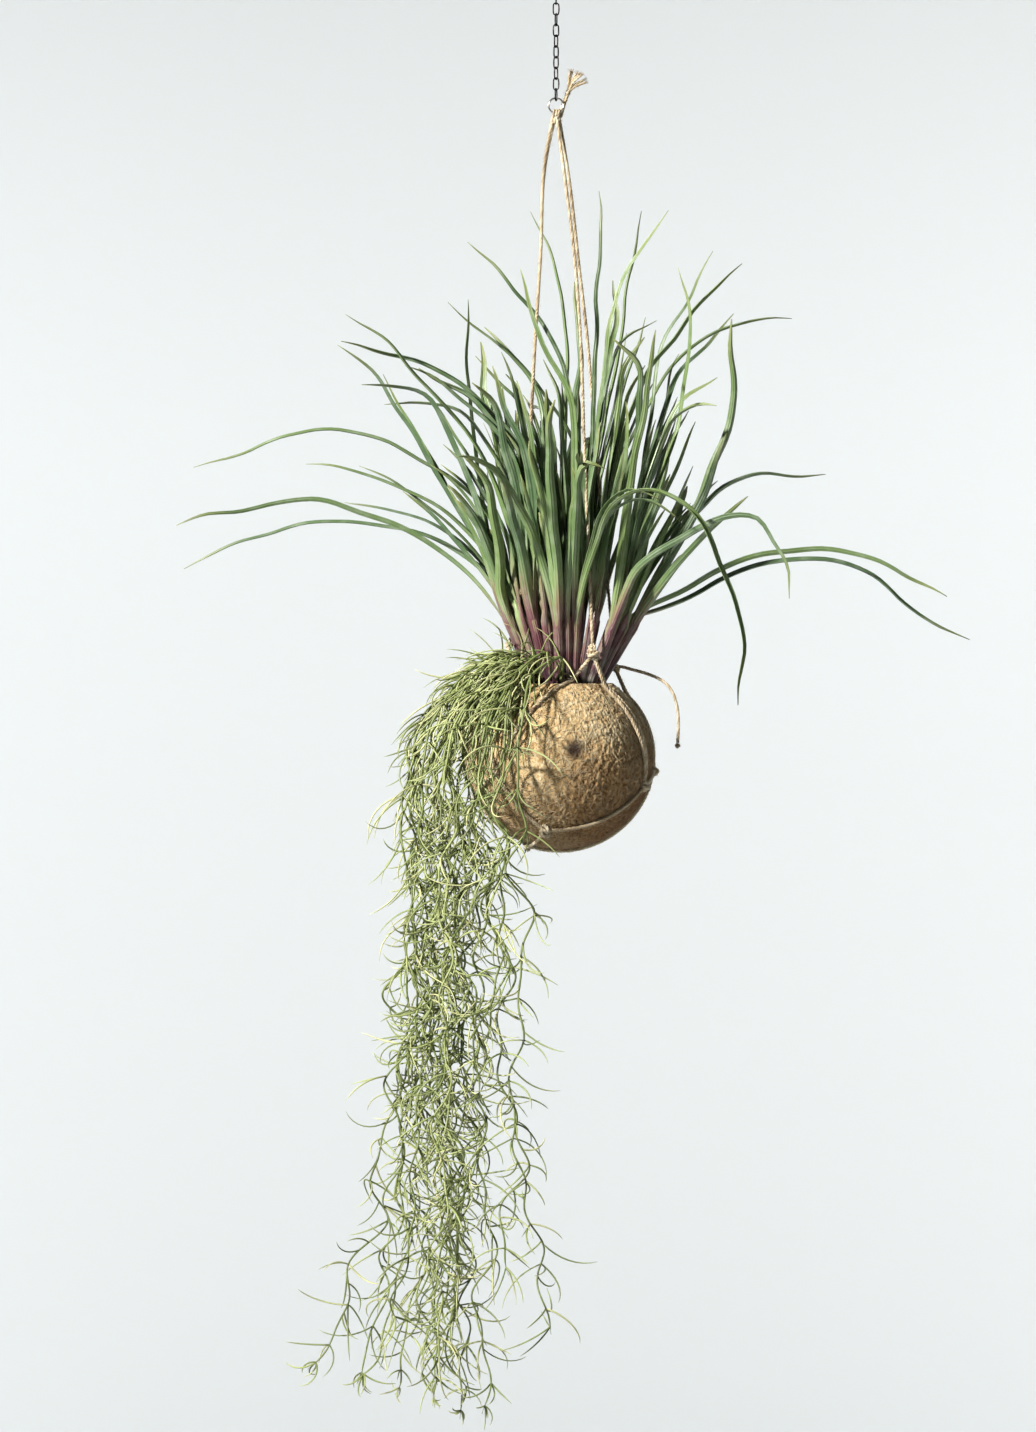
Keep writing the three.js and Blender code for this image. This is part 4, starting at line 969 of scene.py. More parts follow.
@dataclass
class TwineHanger:
    """The hitch at the split ring, the four legs and the net round the ball, in crown millimetres."""

    ball_radius: float = 67.0
    ball_height: float = 65.0
    rim_above: float = 53.3
    rest: float = 1.65
    net_knot: float = 2.56
    net_thick: float = 1.12
    hitch_knot: float = 3.2
    shoulders: dict[str, Place] = field(
        default_factory=lambda: {
            "left": (-36, 5, 28), "front": (24, -31, 21), "right": (41, 18, 12), "back": (-22, 37, 14)
        }
    )  # fmt: skip
    round_knots: dict[str, Range] = field(
        default_factory=lambda: {
            "left": (229, -9), "front": (257, -49), "right": (337, -19), "side": (4, -9),
            "back": (112, -28), "bottom": (192, -61.3),
        }
    )  # fmt: skip
    plump: dict[str, float] = field(
        default_factory=lambda: {
            "left": 1.35, "front": 2.1, "right": 1.65, "back": 1.35, "side": 1.6, "bottom": 1.35
        }
    )  # fmt: skip
    legs: dict[str, tuple[Place, ...]] = field(
        default_factory=lambda: {
            "left": ((-5, -0.3, 408.5), (-10, 1, 377), (-13, 2, 312), (-17, 2, 248), (-22, 1, 161),
                     (-28, 1, 63)),
            "front": ((-1.4, -2.8, 408.5), (3, -4, 374), (12, -10, 298), (15, -14, 255),
                      (18, -19, 170), (22, -27, 68)),
            "right": ((1, 0.6, 408.5), (6, 2, 374), (15, 3, 298), (20, 5, 255), (27, 9, 170),
                      (36, 15, 68)),
            "back": ((-3, 3.2, 408.5), (-9.5, 8, 377), (-13, 14, 312), (-17, 22, 248),
                     (-21.5, 31, 150), (-24, 36, 60)),
        }
    )  # fmt: skip
    ring_foot: Place = (-2.0, 0.0, 411.25)
    hitch_at: Place = (-2.0, 0.0, 406.6)
    tails: tuple[Place, ...] = (
        (1.5, 0, 15), (3.2, 1, 15.2), (6, 1.5, 14), (8.2, 0.6, 13.6), (9.5, -1, 12.5),
        (12.5, 0.5, 7.5), (11.6, 1.2, 9.6),
    )  # fmt: skip

    def lifted(self, point: np.ndarray) -> np.ndarray:
        """Push a point out to rest on the ball's skin, if it is nearer than that.

        Args:
            point: the point; one above the rim is left alone.

        Returns:
            The point where it belongs.
        """
        if point[2] > 1:
            return point
        rim = np.array((0, 0, self.rim_above))
        away = point + rim
        wide, tall = self.ball_radius + self.rest, self.ball_height + self.rest
        stretch = math.hypot(away[0] / wide, away[1] / wide, away[2] / tall)
        return away / stretch - rim if stretch < 1 else point

    def on_ball(self, bearing: float, height: float, lift: float) -> np.ndarray:
        """A point above the ball's skin.

        Args:
            bearing: its bearing in degrees.
            height: its height from the ball's centre.
            lift: how far it stands off the skin.

        Returns:
            The point.
        """
        turn = math.radians(bearing)
        reach = self.ball_radius * math.sqrt(max(0.0, 1 - (height / self.ball_height) ** 2))
        out = np.array((reach * math.cos(turn), reach * math.sin(turn), height))
        slope = out / np.array((self.ball_radius, self.ball_radius, self.ball_height)) ** 2
        return out + unit(slope) * lift - np.array((0, 0, self.rim_above))

    def net_strand(self, start: np.ndarray, end: np.ndarray, aside: float) -> Line:
        """A taut strand that bends over the ball where the ball is in its way.

        Args:
            start: where it leaves one knot.
            end: where it meets the other.
            aside: how far it bows sideways, for the two strands of a pair.

        Returns:
            Its points in metres.
        """
        run = end - start
        across = unit(np.cross(run, start + end + np.array((0, 0, 2 * self.rim_above)))) * aside
        steps = max(6, round(float(np.linalg.norm(run)) / 6))
        shares = np.linspace(0, 1, steps + 1)
        return planted([self.lifted(start + run * t + across * math.sin(math.pi * t)) for t in shares])

    def net(self) -> None:
        """Tie the net: its knots, one more turn above the front one, and the strands between them."""
        twine = Twine(7)
        top = {name: np.array(at, float) for name, at in self.shoulders.items()}
        low = {name: self.on_ball(*at, self.net_knot + 0.3) for name, at in self.round_knots.items()}
        for name, at in (*top.items(), *low.items()):
            size = self.net_knot * self.plump[name]
            twine.knot(planted(at), size * MM, 1.0)
            twine.knot(planted(at), size * 0.75 * MM, 0.9)
        collar = top["front"] + np.array((-0.6, 0.6, 5.2))
        twine.knot(planted(collar), self.net_knot * 1.25 * MM, 0.95)
        ties = [
            (top["front"], low["right"], 1.7), (top["front"], low["right"], -1.7),
            (top["front"], low["left"], 0), (top["left"], low["left"], 0),
            (top["left"], low["back"], 0), (top["back"], low["back"], 0),
            (top["right"], low["side"], 9), (top["right"], low["side"], 5.5),
            (low["left"], low["front"], 0), (low["front"], low["right"], 0),
            (low["right"], low["side"], 0), (low["side"], low["back"], 0),
            (low["back"], low["left"], 0), (low["front"], low["bottom"], 0),
            (low["side"], low["bottom"], 0), (low["back"], low["bottom"], 0),
        ]  # fmt: skip
        for start, end, aside in ties:
            twine.lay_up(self.net_strand(start, end, aside), self.net_thick)
        twine.settle("twine_net_plies", JuteYarn(), "twine_net")

    def hang(self) -> None:
        """Hang the four legs, drawn together at the hitch, down to the shoulder knots."""
        for index, (name, points) in enumerate(self.legs.items()):
            twine = Twine(20 + index)
            start = np.array(points[0]) * (0.75, 0.6, 1.0) - (0.5, 0.0, 0.0)
            twine.lay_up(planted((start, *points[1:], self.shoulders[name])))
            twine.settle(f"twine_leg_{name}_plies", JuteYarn(), f"twine_leg_{name}")

    def hitch(self) -> None:
        """Wrap the split ring's wire, knot it, and leave a wrapped bundle of cut tails."""
        twine = Twine(5)
        foot, below = np.array(self.ring_foot), np.array(self.hitch_at)
        turn = np.linspace(0, TAU, 26)
        for shift in (-1.6, 0.2, 1.9):
            loop = np.stack([shift + 0.4 * np.sin(turn), 2.3 * np.cos(turn), 2.3 * np.sin(turn)], 1)
            twine.lay_up(planted(foot + loop), 0.75)
        twine.knot(planted(below), self.hitch_knot * MM, 0.9)
        wrap, bend = below + np.array((8.5, 4.6, 20.0)), below + np.array((2.0, 3.4, 1.0))
        for side in ((0.8, 0, 0.4), (-0.7, 0.6, 0), (0, -0.8, -0.5)):
            shifted = [below + side, bend + side, (bend + wrap) / 2 + side, wrap + side]
            twine.lay_up(planted(shifted), 0.8)
        twine.knot(planted(wrap), 2.3 * MM, 0.75)
        for tail in self.tails:
            out = np.array(tail, float)
            middle = wrap + out * np.array((0.42, 0.5, 0.6))
            line = smooth(planted([wrap, middle, wrap + out]), 14)
            twine.lay_up(line, 0.72)
            twine.fray(line)
        twine.settle("twine_hitch_plies", JuteYarn(), "twine_hitch")


# ---------------------------------------------------------------------------------------- hardware
@dataclass
class Hardware:
    """The ring for the hook, the chain of oval links and the split ring, all in metres."""

    ring_bore: float = 0.0176
    ring_wire: float = 0.0024
    pitch: float = 0.0077
    link_width: float = 0.005
    link_wire: float = 0.00105
    link_steps: int = 49
    links: int = 10
    turn_each: float = 98.1
    gap: float = 0.0003
    split_outer: float = 0.012
    split_wire: float = 0.0013
    split_width: float = 0.002
    split_seat: float = 0.00062
    split_steps: int = 161

    def first_link(self) -> float:
        """Height of the first link's middle."""
        return -self.ring_bore + self.gap - self.pitch / 2

    def top_ring(self) -> None:
        """Bend the plain ring and close it with a small weld at its side."""
        shape = Shape()
        turn = np.linspace(0, TAU, 97)
        middle, centre = (self.ring_bore + self.ring_wire) / 2, -self.ring_bore / 2
        line = np.stack([middle * np.cos(turn), 0 * turn, centre + middle * np.sin(turn)], 1)
        weld = 1 + 0.07 * np.exp(-(((turn - 0.35) / 0.07) ** 2))
        shape.tubes(line[None], self.ring_wire / 2 * 0.94 * weld, 18, FRONT_TO_BACK, np.zeros(1))
        shape.settle("top_ring_wire", BlackenedSteel(), "top_ring")

    def chain(self) -> None:
        """Bend the oval links, each turned against the last and welded at its side."""
        shape = Shape(2)
        half = self.pitch / 2 + self.link_wire / 2
        bend = (self.link_width - self.link_wire) / 2
        angle = np.linspace(0, np.pi, 13)
        upper = np.stack([bend * np.cos(angle), half - bend + bend * np.sin(angle)], 1)
        across, up = np.concatenate([upper, -upper, upper[:1]]).T
        lines, sides = [], []
        for index in range(self.links):
            turn = math.radians(90 + index * self.turn_each)
            height = self.first_link() - index * self.pitch
            line = np.stack([across * math.cos(turn), across * math.sin(turn), height + up], 1)
            lines.append(smooth(line, self.link_steps))
            sides.append((-math.sin(turn), math.cos(turn), 0.0))
        weld = 1 + 0.14 * np.exp(-(((np.arange(self.link_steps) - 18.5) / 0.9) ** 2))
        size = self.link_wire / 2 * weld
        shape.tubes(np.array(lines), size, 12, np.array(sides), shape.rng.random(self.links))
        shape.settle("chain_links", BlackenedSteel(), "chain")

    def split_ring(self) -> None:
        """Coil the flat strip twice, with cut ends that lie beside it."""
        shape = Shape()
        last = self.first_link() - self.pitch * (self.links - 1)
        top = last - self.pitch / 2 + self.split_seat + self.split_wire
        centre = top - self.split_outer / 2
        middle = (self.split_outer - self.split_wire) / 2
        turn = np.linspace(0.5, 0.5 + 4 * np.pi - 0.12, self.split_steps)
        step = self.split_width / 4 * np.clip(np.linspace(-1, 1, self.split_steps) * 6, -1, 1)
        line = np.stack([middle * np.cos(turn), step, centre + middle * np.sin(turn)], 1)
        size = np.full(self.split_steps, self.split_width / 4 * 0.98)
        shape.tubes(line[None], size, 10, FRONT_TO_BACK, np.zeros(1), flat=1.25)
        shape.settle("split_ring_coil", NickelPlate(), "split_ring")


# ------------------------------------------------------------------------------------ ball and soil
@dataclass
class Planter:
    """The pressed fibre ball and the soil in it, in metres."""

    radius: float = 0.067
    height: float = 0.065
    wall: float = 0.004
    lip: float = 0.0012
    rim_above: float = 0.0533
    soil_below: float = 0.004
    soil_dome: float = 0.0025
    soil_gap: float = 0.0007
    soil_foot: float = -0.05
    turns: int = 680
    rows: int = 300
    lump: float = 0.0008
    dab: float = 0.0011
    pit: float = 0.00045
    stray_count: int = 5200
    stray_length: Range = (0.004, 0.015)
    stray_radius: Range = (0.0001, 0.00024)
    crumb_count: int = 700
    crumb_size: Range = (0.0006, 0.0017)

    def centre(self) -> np.ndarray:
        """The ball's centre in the row frame."""
        return CROWN - np.array((0, 0, self.rim_above))

    def clear(self, points: Line, lift: float) -> Line:
        """Push points out of the ball.

        Args:
            points: the points.
            lift: how far off its skin they stay.

        Returns:
            The points, those that were in the ball moved to its skin.
        """
        away = points - self.centre()
        stretch = np.array((self.radius, self.radius, self.height)) + lift
        inside = np.linalg.norm(away / stretch, axis=-1, keepdims=True)
        low = points[..., 2:] < CROWN[2] + 0.0005
        return np.where((inside < 1) & low, self.centre() + away / np.maximum(inside, 1e-6), points)

    def outline(self) -> tuple[np.ndarray, np.ndarray]:
        """The ball's outline.

        Returns:
            Radii and heights from its foot round the lip to its inner foot, and how rough it is.
        """
        low, rise, steps = -math.pi / 2, self.rim_above - self.lip, 16
        angle = np.linspace(low, math.asin(rise / self.height), self.rows)
        outside = np.stack([self.radius * np.cos(angle), self.height * np.sin(angle)], 1)
        thin, short = self.radius - self.wall, self.height - self.wall
        back = np.linspace(math.asin(rise / short), low, steps)
        inside = np.stack([thin * np.cos(back), short * np.sin(back)], 1)
        start, end = outside[-1], inside[0]
        bend = np.linspace(0, np.pi, 12)[1:-1]
        across = (start[0] + end[0]) / 2 + (start[0] - end[0]) / 2 * np.cos(bend)
        lip = np.stack([across, start[1] + self.lip * np.sin(bend)], 1)
        rough = [np.ones(self.rows), np.full(len(bend), 0.8), np.linspace(0.6, 0.0, steps)]
        return np.concatenate([outside, lip, inside]), np.concatenate(rough)

    def relief(self, point: Sequence[float]) -> tuple[float, float]:
        """How far a place stands out of the skin, worked more on the right and low down.

        Args:
            point: the place, from the ball's centre.

        Returns:
            The height in metres, and the same as a share, which the fibre finish paints darker in hollows
            as painted shade.
        """
        at = Vector(point)
        lump = noise.fractal(at * 26, 1.0, 2.0, 2)
        worked = min(1.0, max(0.22, 0.55 + at.x * 12 - at.z * 3 + noise.noise(at * 34) * 0.5))
        skew = Vector((at.x + at.z * 0.35, at.y, at.z - at.x * 0.3))
        dab = noise.fractal(Vector((skew.x * 430, skew.y * 430, skew.z * 230)), 0.8, 2.1, 3)
        pit = noise.noise(at * 700)
        share = 0.5 + 0.4 * dab + 0.15 * pit
        return self.lump * lump + worked * (self.dab * dab + self.pit * pit), 0.5 + worked * (share - 0.5)

    def ball(self) -> None:
        """Press the ball: turned, then dabbed out and in, with stray fibres on its skin."""
        outline, rough = self.outline()
        slope = np.gradient(outline, axis=0)
        normal = unit(np.stack([slope[:, 1], -slope[:, 0]], 1))
        flat, out = turned(outline, self.turns), turned(normal, self.turns)
        relief = np.array([self.relief(point) for point in flat])
        depth = relief[:, 0] * np.repeat(rough, self.turns)
        points = flat + out * depth[:, None] + self.centre()
        for pole in (points[: self.turns], points[-self.turns :]):
            pole[:] = pole.mean(axis=0)
        shape = Shape()
        shape.add(points, [lattice(len(outline), self.turns)], share=relief[:, 1])
        shape.settle("fibre_ball_skin", PressedFibre(), "fibre_ball", weld=True)
        self.strays()

    def strays(self) -> None:
        """Lay short coir fibres on the ball's skin, a few of them lifting off it."""
        shape = Shape(13)
        rng = shape.rng
        way = unit(rng.normal(size=(self.stray_count, 3)))
        way = way[way[:, 2] < 0.76]
        count = len(way)
        stretch = np.array((self.radius, self.radius, self.height))
        skin, normal = way * stretch, unit(way / stretch)
        heading = shape.sideways(normal)
        length = rng.uniform(*self.stray_length, count)[:, None]
        bend = np.cross(normal, heading) * rng.normal(0, 0.3, count)[:, None]
        loose = np.where(rng.random(count) < 0.1, rng.uniform(0.05, 0.3, count), 0.0)[:, None]
        lines = []
        for share in np.linspace(-0.5, 0.5, 6):
            at = skin + (heading + bend * (share * 2) ** 2) * length * share
            at = at / np.linalg.norm(at / stretch, axis=1, keepdims=True)
            lines.append(at + normal * (0.0003 + loose * length * (share + 0.5)))
        radii = np.array((0.4, 0.9, 1.0, 1.0, 0.8, 0.3)) * rng.uniform(*self.stray_radius, (count, 1))
        shape.tubes(np.stack(lines, axis=1) + self.centre(), radii, 3, normal, rng.random(count), share=0.8)
        shape.settle("fibre_ball_strays", PressedFibre())

    def soil(self) -> None:
        """Fill the ball: a crumbly dome with loose crumbs on it."""
        edge = (self.radius - self.wall - self.soil_gap) * math.sqrt(
            1 - ((self.rim_above - self.soil_below) / self.height) ** 2
        )
        rings, turns = 40, 128
        reach = np.linspace(0, 1, rings)
        top = -self.soil_below + self.soil_dome * (1 - reach**2)
        grid = turned(np.stack([edge * reach, top], 1), turns)
        grid[:, 2] += np.array([noise.fractal(Vector(p) * 330, 0.8, 2.0, 4) * 0.0011 for p in grid])
        grid[:turns] = grid[:turns].mean(axis=0)
        under = grid[-turns:] * (0.8, 0.8, 0.0) + (0.0, 0.0, self.soil_foot)
        foot = rings * turns + np.arange(turns)[None, ::-1]
        shape = Shape(17)
        quads = lattice(rings + 1, turns)[:, TURNED_OVER]
        shape.add(np.concatenate([grid, under]) + CROWN, [quads, foot])
        self.crumbs(shape, edge)
        shape.settle("soil_crumbs", PottingMix(), "soil", weld=True)

    def crumbs(self, shape: Shape, edge: float) -> None:
        """Scatter loose crumbs over the soil.

        Args:
            shape: the soil's mesh.
            edge: radius of the soil's top.
        """
        rng, count = shape.rng, self.crumb_count
        corners = np.array([(1, 0, 0), (-1, 0, 0), (0, 1, 0), (0, -1, 0), (0, 0, 1), (0, 0, -1)], float)
        sides = np.array(
            [(0, 2, 4), (2, 1, 4), (1, 3, 4), (3, 0, 4), (2, 0, 5), (1, 2, 5), (3, 1, 5), (0, 3, 5)]
        )
        turn = rng.uniform(0, TAU, count)
        reach = edge * 0.96 * np.sqrt(rng.random(count))
        for a, r, s in zip(turn, reach, rng.uniform(*self.crumb_size, count), strict=True):
            up = -self.soil_below + self.soil_dome * (1 - (r / edge) ** 2) + s * 0.4
            at = CROWN + np.array((r * math.cos(a), r * math.sin(a), up))
            body = corners * s * rng.uniform(0.6, 1.2, (6, 1)) @ np.linalg.qr(rng.normal(size=(3, 3)))[0]
            mirrored = np.linalg.det(body[[0, 2, 4]] - body[5]) < 0
            shape.add(body + at, [sides[:, ::-1] if mirrored else sides], (0.0, 0.0, rng.random()))


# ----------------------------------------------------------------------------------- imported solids
class Skin:
    """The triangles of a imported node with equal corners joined, to walk along."""

    def __init__(self, node: str) -> None:
        """Read a node.

        Args:
            node: its name.
        """
        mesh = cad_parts[node].data
        spots = np.empty(len(mesh.vertices) * 3, np.float32)
        mesh.vertices.foreach_get("co", spots)
        keys = np.round(spots.reshape(-1, 3).astype(float) * 1e6).astype(np.int64)
        joined, index = np.unique(keys, axis=0, return_inverse=True)
        self.points = joined * 1e-6
        corners = np.empty(len(mesh.loops), np.int32)
        mesh.loops.foreach_get("vertex_index", corners)
        self.near: list[set[int]] = [set() for _ in self.points]
        for a, b, c in index.ravel()[corners].reshape(-1, 3):
            self.near[a] |= {b, c}
            self.near[b] |= {a, c}
            self.near[c] |= {a, b}

    def tips(self) -> list[int]:
        """Corners where only three edges meet: the ends of blades, needles and strands."""
        return [i for i, near in enumerate(self.near) if len(near) == 3]

    def beyond(self, ring: set[int], known: set[int]) -> set[int]:
        """The corners next to a ring that aren't in it and aren't known yet."""
        return set().union(*(self.near[i] for i in ring)) - ring - known

    def middle(self, ring: set[int]) -> np.ndarray:
        """The middle of a ring of corners."""
        return self.points[sorted(ring)].mean(axis=0)

    def rings(self, tip: int, known: set[int]) -> list[set[int]]:
        """Walk from a tip over the rings of three corners behind it.

        Args:
            tip: where to start.
            known: corners to keep off; those walked over join them.

        Returns:
            The rings, from the tip on.
        """
        rings, ring = [], set(self.near[tip])
        while len(ring) == 3:
            rings.append(ring)
            known |= ring
            ring = self.beyond(ring, known)
        return rings


# ------------------------------------------------------------------------------------------- grass
@dataclass
class Blade:
    """A blade's run at even steps: its middle, half its width as a vector, and its keel's way."""

    middle: Line
    half: Line
    keel: Line
    angle: float


@dataclass
class GrassShoot(Shape):
    """A shoot: its sheath from foot to top, and the strap leaves that leave it."""

    stations: int = 24
    columns: int = 9
    row_step: float = 0.006
    keel: float = 0.36
    widen: float = 1.1
    thick: float = 0.0006
    edge_thick: float = 0.00025
    sheath_radius: float = 0.004
    bottom_wrap: float = 1.25
    top_wrap: float = 0.5
    core_steps: int = 14
    core_at: tuple[float, ...] = (0, 0.2, 0.85, 1)
    core_radii: tuple[float, ...] = (0.0031, 0.0034, 0.0032, 0.0004)
    taper_at: tuple[float, ...] = (0, 0.12, 0.35, 0.6, 0.8, 0.93, 1.0)
    taper: tuple[float, ...] = (0.8, 0.95, 1.0, 0.9, 0.72, 0.52, 0.13)
    waves: tuple[Range, ...] = ((0.085, 0.0022), (0.045, 0.0009))
    foot: Line = field(default_factory=lambda: np.zeros(3))
    top: Line = field(default_factory=lambda: np.zeros(3))
    blades: list[Blade] = field(default_factory=list)

    def read(self, node: str) -> None:
        """Read the sheath and the blades of a packed shoot.

        Args:
            node: its name.
        """
        skin = Skin(node)
        chains = [(tip, skin.rings(tip, {tip})) for tip in skin.tips()]
        hubs = [i for i, near in enumerate(skin.near) if len(near) >= 7]
        crown = max(hubs, key=lambda i: sum(i in rings[-1] for _, rings in chains))
        self.foot = skin.points[min(hubs, key=lambda i: skin.points[i][2])]
        self.top = skin.points[crown]
        _, side, back = transported(np.stack([self.foot, (self.foot + self.top) / 2, self.top]))
        for tip, rings in chains:
            rows = [
                sorted(upper, key=lambda i, low=lower: len(skin.near[i] & low))
                for upper, lower in zip(rings[:-1], rings[1:], strict=True)
            ]
            right, ridge, left = sorted(rings[-1], key=lambda i, up=rings[-2]: len(skin.near[i] & up))
            spots = skin.points[np.array([(left, ridge, right), *rows[::-1]])]
            middle, half = (spots[:, 0] + spots[:, 2]) / 2, (spots[:, 2] - spots[:, 0]) / 2
            keel = unit(spots[:, 1] - middle)
            rim = middle[0] - self.top
            middle = np.concatenate([middle, skin.points[tip][None]])
            half = np.concatenate([half, half[-1:] * 0.05])
            keel = np.concatenate([keel, keel[-1:]])
            even = smooth(np.stack([middle, half, keel], 1), self.stations, middle)
            angle = math.atan2(float(rim @ back[0]), float(rim @ side[0]))
            self.blades.append(Blade(even[:, 0], even[:, 1], unit(even[:, 2]), angle))

    def between(self, blades: Sequence[Blade], lean: Range = (0.72, 0.92)) -> Blade:
        """Draw a blade that runs between two others and stops a little shorter.

        Args:
            blades: the blades to choose from.
            lean: how near it keeps to the first of the two, from and to.

        Returns:
            The new blade.
        """
        rng = self.rng
        one, other = rng.choice(len(blades), 2, replace=False)
        first, second = blades[one], blades[other]
        w, cut = rng.uniform(*lean), rng.uniform(0.45, 0.85)
        own, share = np.linspace(0, 1, self.stations), np.linspace(0, cut, self.stations)
        sign = 1 if first.half[9] @ second.half[9] > 0 else -1
        runs = (
            (first.middle, second.middle, 1),
            (first.half, second.half, sign),
            (first.keel, second.keel, 1),
        )
        columns = np.concatenate([a * w + b * (1 - w) * way for a, b, way in runs], axis=1).T
        cut_off = np.stack([np.interp(share, own, column) for column in columns], 1)
        middle, half, keel = cut_off[:, :3], cut_off[:, 3:6], cut_off[:, 6:]
        drift = self.sideways(unit(middle[-1:] - middle[:1])) * rng.uniform(0.002, 0.012)
        middle = middle + drift * own[:, None] ** 1.5
        half = unit(half) * rng.uniform(0.0022, 0.0032)
        turn = second.angle - first.angle
        angle = first.angle + math.atan2(math.sin(turn), math.cos(turn)) * rng.uniform(0.3, 0.7)
        return Blade(middle, half, unit(keel), angle)

    def waved(self, blade: Blade) -> tuple[Line, Line]:
        """Let a blade wander a little, and keep its width until close to its tip.

        Args:
            blade: the blade's run.

        Returns:
            Its middle and its half width at the same stations.
        """
        run = run_of(blade.middle)
        share = run / run[-1]
        width = np.linalg.norm(blade.half, axis=1).max() * self.widen * self.rng.uniform(0.92, 1.05)
        taper = np.interp(share, self.taper_at, self.taper) * width
        across = unit(blade.half)
        drift = np.zeros(len(run))
        for length, size in self.waves:
            drift += size * np.sin(TAU * run / length + self.rng.uniform(*PHASE))
        drift *= np.clip(share * 1.6 - 0.35, 0, 1)
        drift *= min(1.0, run[-1] / 0.25)
        lift = np.roll(drift, 1) * 0.5
        middle = blade.middle + across * drift[:, None] + blade.keel * lift[:, None]
        middle[0] = blade.middle[0]
        return middle, across * taper[:, None]

    def core(self) -> None:
        """Add the pith inside the sheath, so that no gap shows between its leaves."""
        line = np.linspace(self.foot, self.top + (self.top - self.foot) * 0.12, self.core_steps)
        radii = np.interp(np.linspace(0, 1, self.core_steps), self.core_at, self.core_radii)
        self.tubes(line[None], radii, 14, transported(line)[1][None], self.rng.random(1), share=0.0)
        along, _, tone = self.marks[-1].T
        self.marks[-1] = np.stack([0 * along, along - 0.009, tone], 1)

    def leaf(self, blade: Blade, layer: int) -> None:
        """Loft one leaf: wrapped round the sheath, then a keeled strap to its tip.

        Args:
            blade: the blade's run.
            layer: which leaf of the sheath this is, counted outwards.
        """
        across = np.linspace(-1, 1, self.columns)
        foot, top = self.foot, self.top
        _, side, back = transported(np.stack([foot, (foot + top) / 2, top]))
        round_sheath = back[0] * math.cos(blade.angle) - side[0] * math.sin(blade.angle)
        sign = 1.0 if blade.half[0] @ round_sheath > 0 else -1.0
        rows, ways = [], []
        for share in (0.08, 0.2, 0.4, 0.6, 0.78, 0.93):
            wrap = self.bottom_wrap + (self.top_wrap - self.bottom_wrap) * share**1.5
            turn = blade.angle + sign * across * wrap
            out = side[0] * np.cos(turn)[:, None] + back[0] * np.sin(turn)[:, None]
            reach = self.sheath_radius * (0.86 + 0.1 * share) + 0.00016 * (layer % 5) * (1 - share)
            rows.append(foot + (top - foot) * share + out * reach)
            ways.append(out)
        middle, half = self.waved(blade)
        for i in range(1, len(middle)):
            width = float(np.linalg.norm(half[i]))
            bow = blade.keel[i] * (np.abs(across) ** 1.2 - 0.5)[:, None] * width * 2 * self.keel
            rows.append(middle[i] + half[i] * across[:, None] + bow)
            ways.append(np.broadcast_to(-blade.keel[i], (self.columns, 3)))
        keys, m = np.array(rows), self.columns // 2
        centre = keys[:, m]
        long = run_of(centre)[-1]
        count = max(20, round(long / self.row_step))
        fine = smooth(keys, count, centre)
        facing = unit(smooth(np.array(ways), count, centre))
        run = np.linspace(0, long, count)
        share = run / run[-1]
        body = self.thick + (self.edge_thick - self.thick) * np.abs(across) ** 2
        body = body[None, :, None] * np.clip((1 - share) * 12, 0.25, 1)[:, None, None]
        outer, inner = fine + facing * body / 2, fine - facing * body / 2
        points = np.concatenate([outer, inner[:, ::-1]], axis=1)
        round_count = 2 * self.columns
        start = np.arange(round_count)[None, ::-1]
        faces = [lattice(count, round_count), start, (count - 1) * round_count + start[:, ::-1]]
        if np.sum(np.cross(fine[4, -1] - fine[4, 0], fine[5, m] - fine[4, m]) * facing[4, m]) < 0:
            faces = [face[:, ::-1] for face in faces]
        marks = np.empty((count, round_count, 3))
        marks[..., 0] = np.concatenate([across, across[::-1]])
        marks[..., 1] = run[:, None]
        marks[..., 2] = self.rng.random()
        self.add(points.reshape(-1, 3), faces, marks.reshape(-1, 3), np.repeat(share, round_count))


@dataclass
class GrassClump:
    """The clump of strap-leaved grass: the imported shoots, and thinner ones in the gaps between."""

    shoots: int = 14
    extra: int = 4
    inner: int = 14
    inner_blades: int = 3

    def build(self) -> None:
        """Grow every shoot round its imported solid, then the shoots between the nearest pairs."""
        found = []
        for number in range(1, self.shoots + 1):
            name = f"grass_shoot_{number:02d}"
            shoot = GrassShoot(100 + number)
            shoot.read(name)
            found.append(shoot)
            shoot.core()
            spare = self.extra if len(shoot.blades) > 1 else 0
            between = [shoot.between(shoot.blades) for _ in range(spare)]
            for layer, blade in enumerate([*shoot.blades, *between]):
                shoot.leaf(blade, layer)
            shoot.settle(f"{name}_leaves", GrassLeaf(), name)
        thin = GrassShoot(170)
        pairs = [(one, other) for k, other in enumerate(found) for one in found[:k]]
        pairs.sort(key=lambda pair: float(np.linalg.norm(pair[1].foot - pair[0].foot)))
        for one, other in pairs[: self.inner]:
            thin.foot, thin.top = (one.foot + other.foot) / 2, (one.top + other.top) / 2
            thin.core()
            for layer, pair in enumerate(zip(one.blades[: self.inner_blades], other.blades)):
                thin.leaf(thin.between(pair, (0.4, 0.6)), layer)
        thin.settle("grass_inner_leaves", GrassLeaf())


# ------------------------------------------------------------------------------------------- spray
@dataclass
class Strand:
    """A trailing strand: its stem's joints, and its needles as foot, middle and tip."""

    joints: Line
    needles: np.ndarray = field(default_factory=lambda: np.empty((0, 3, 3)))


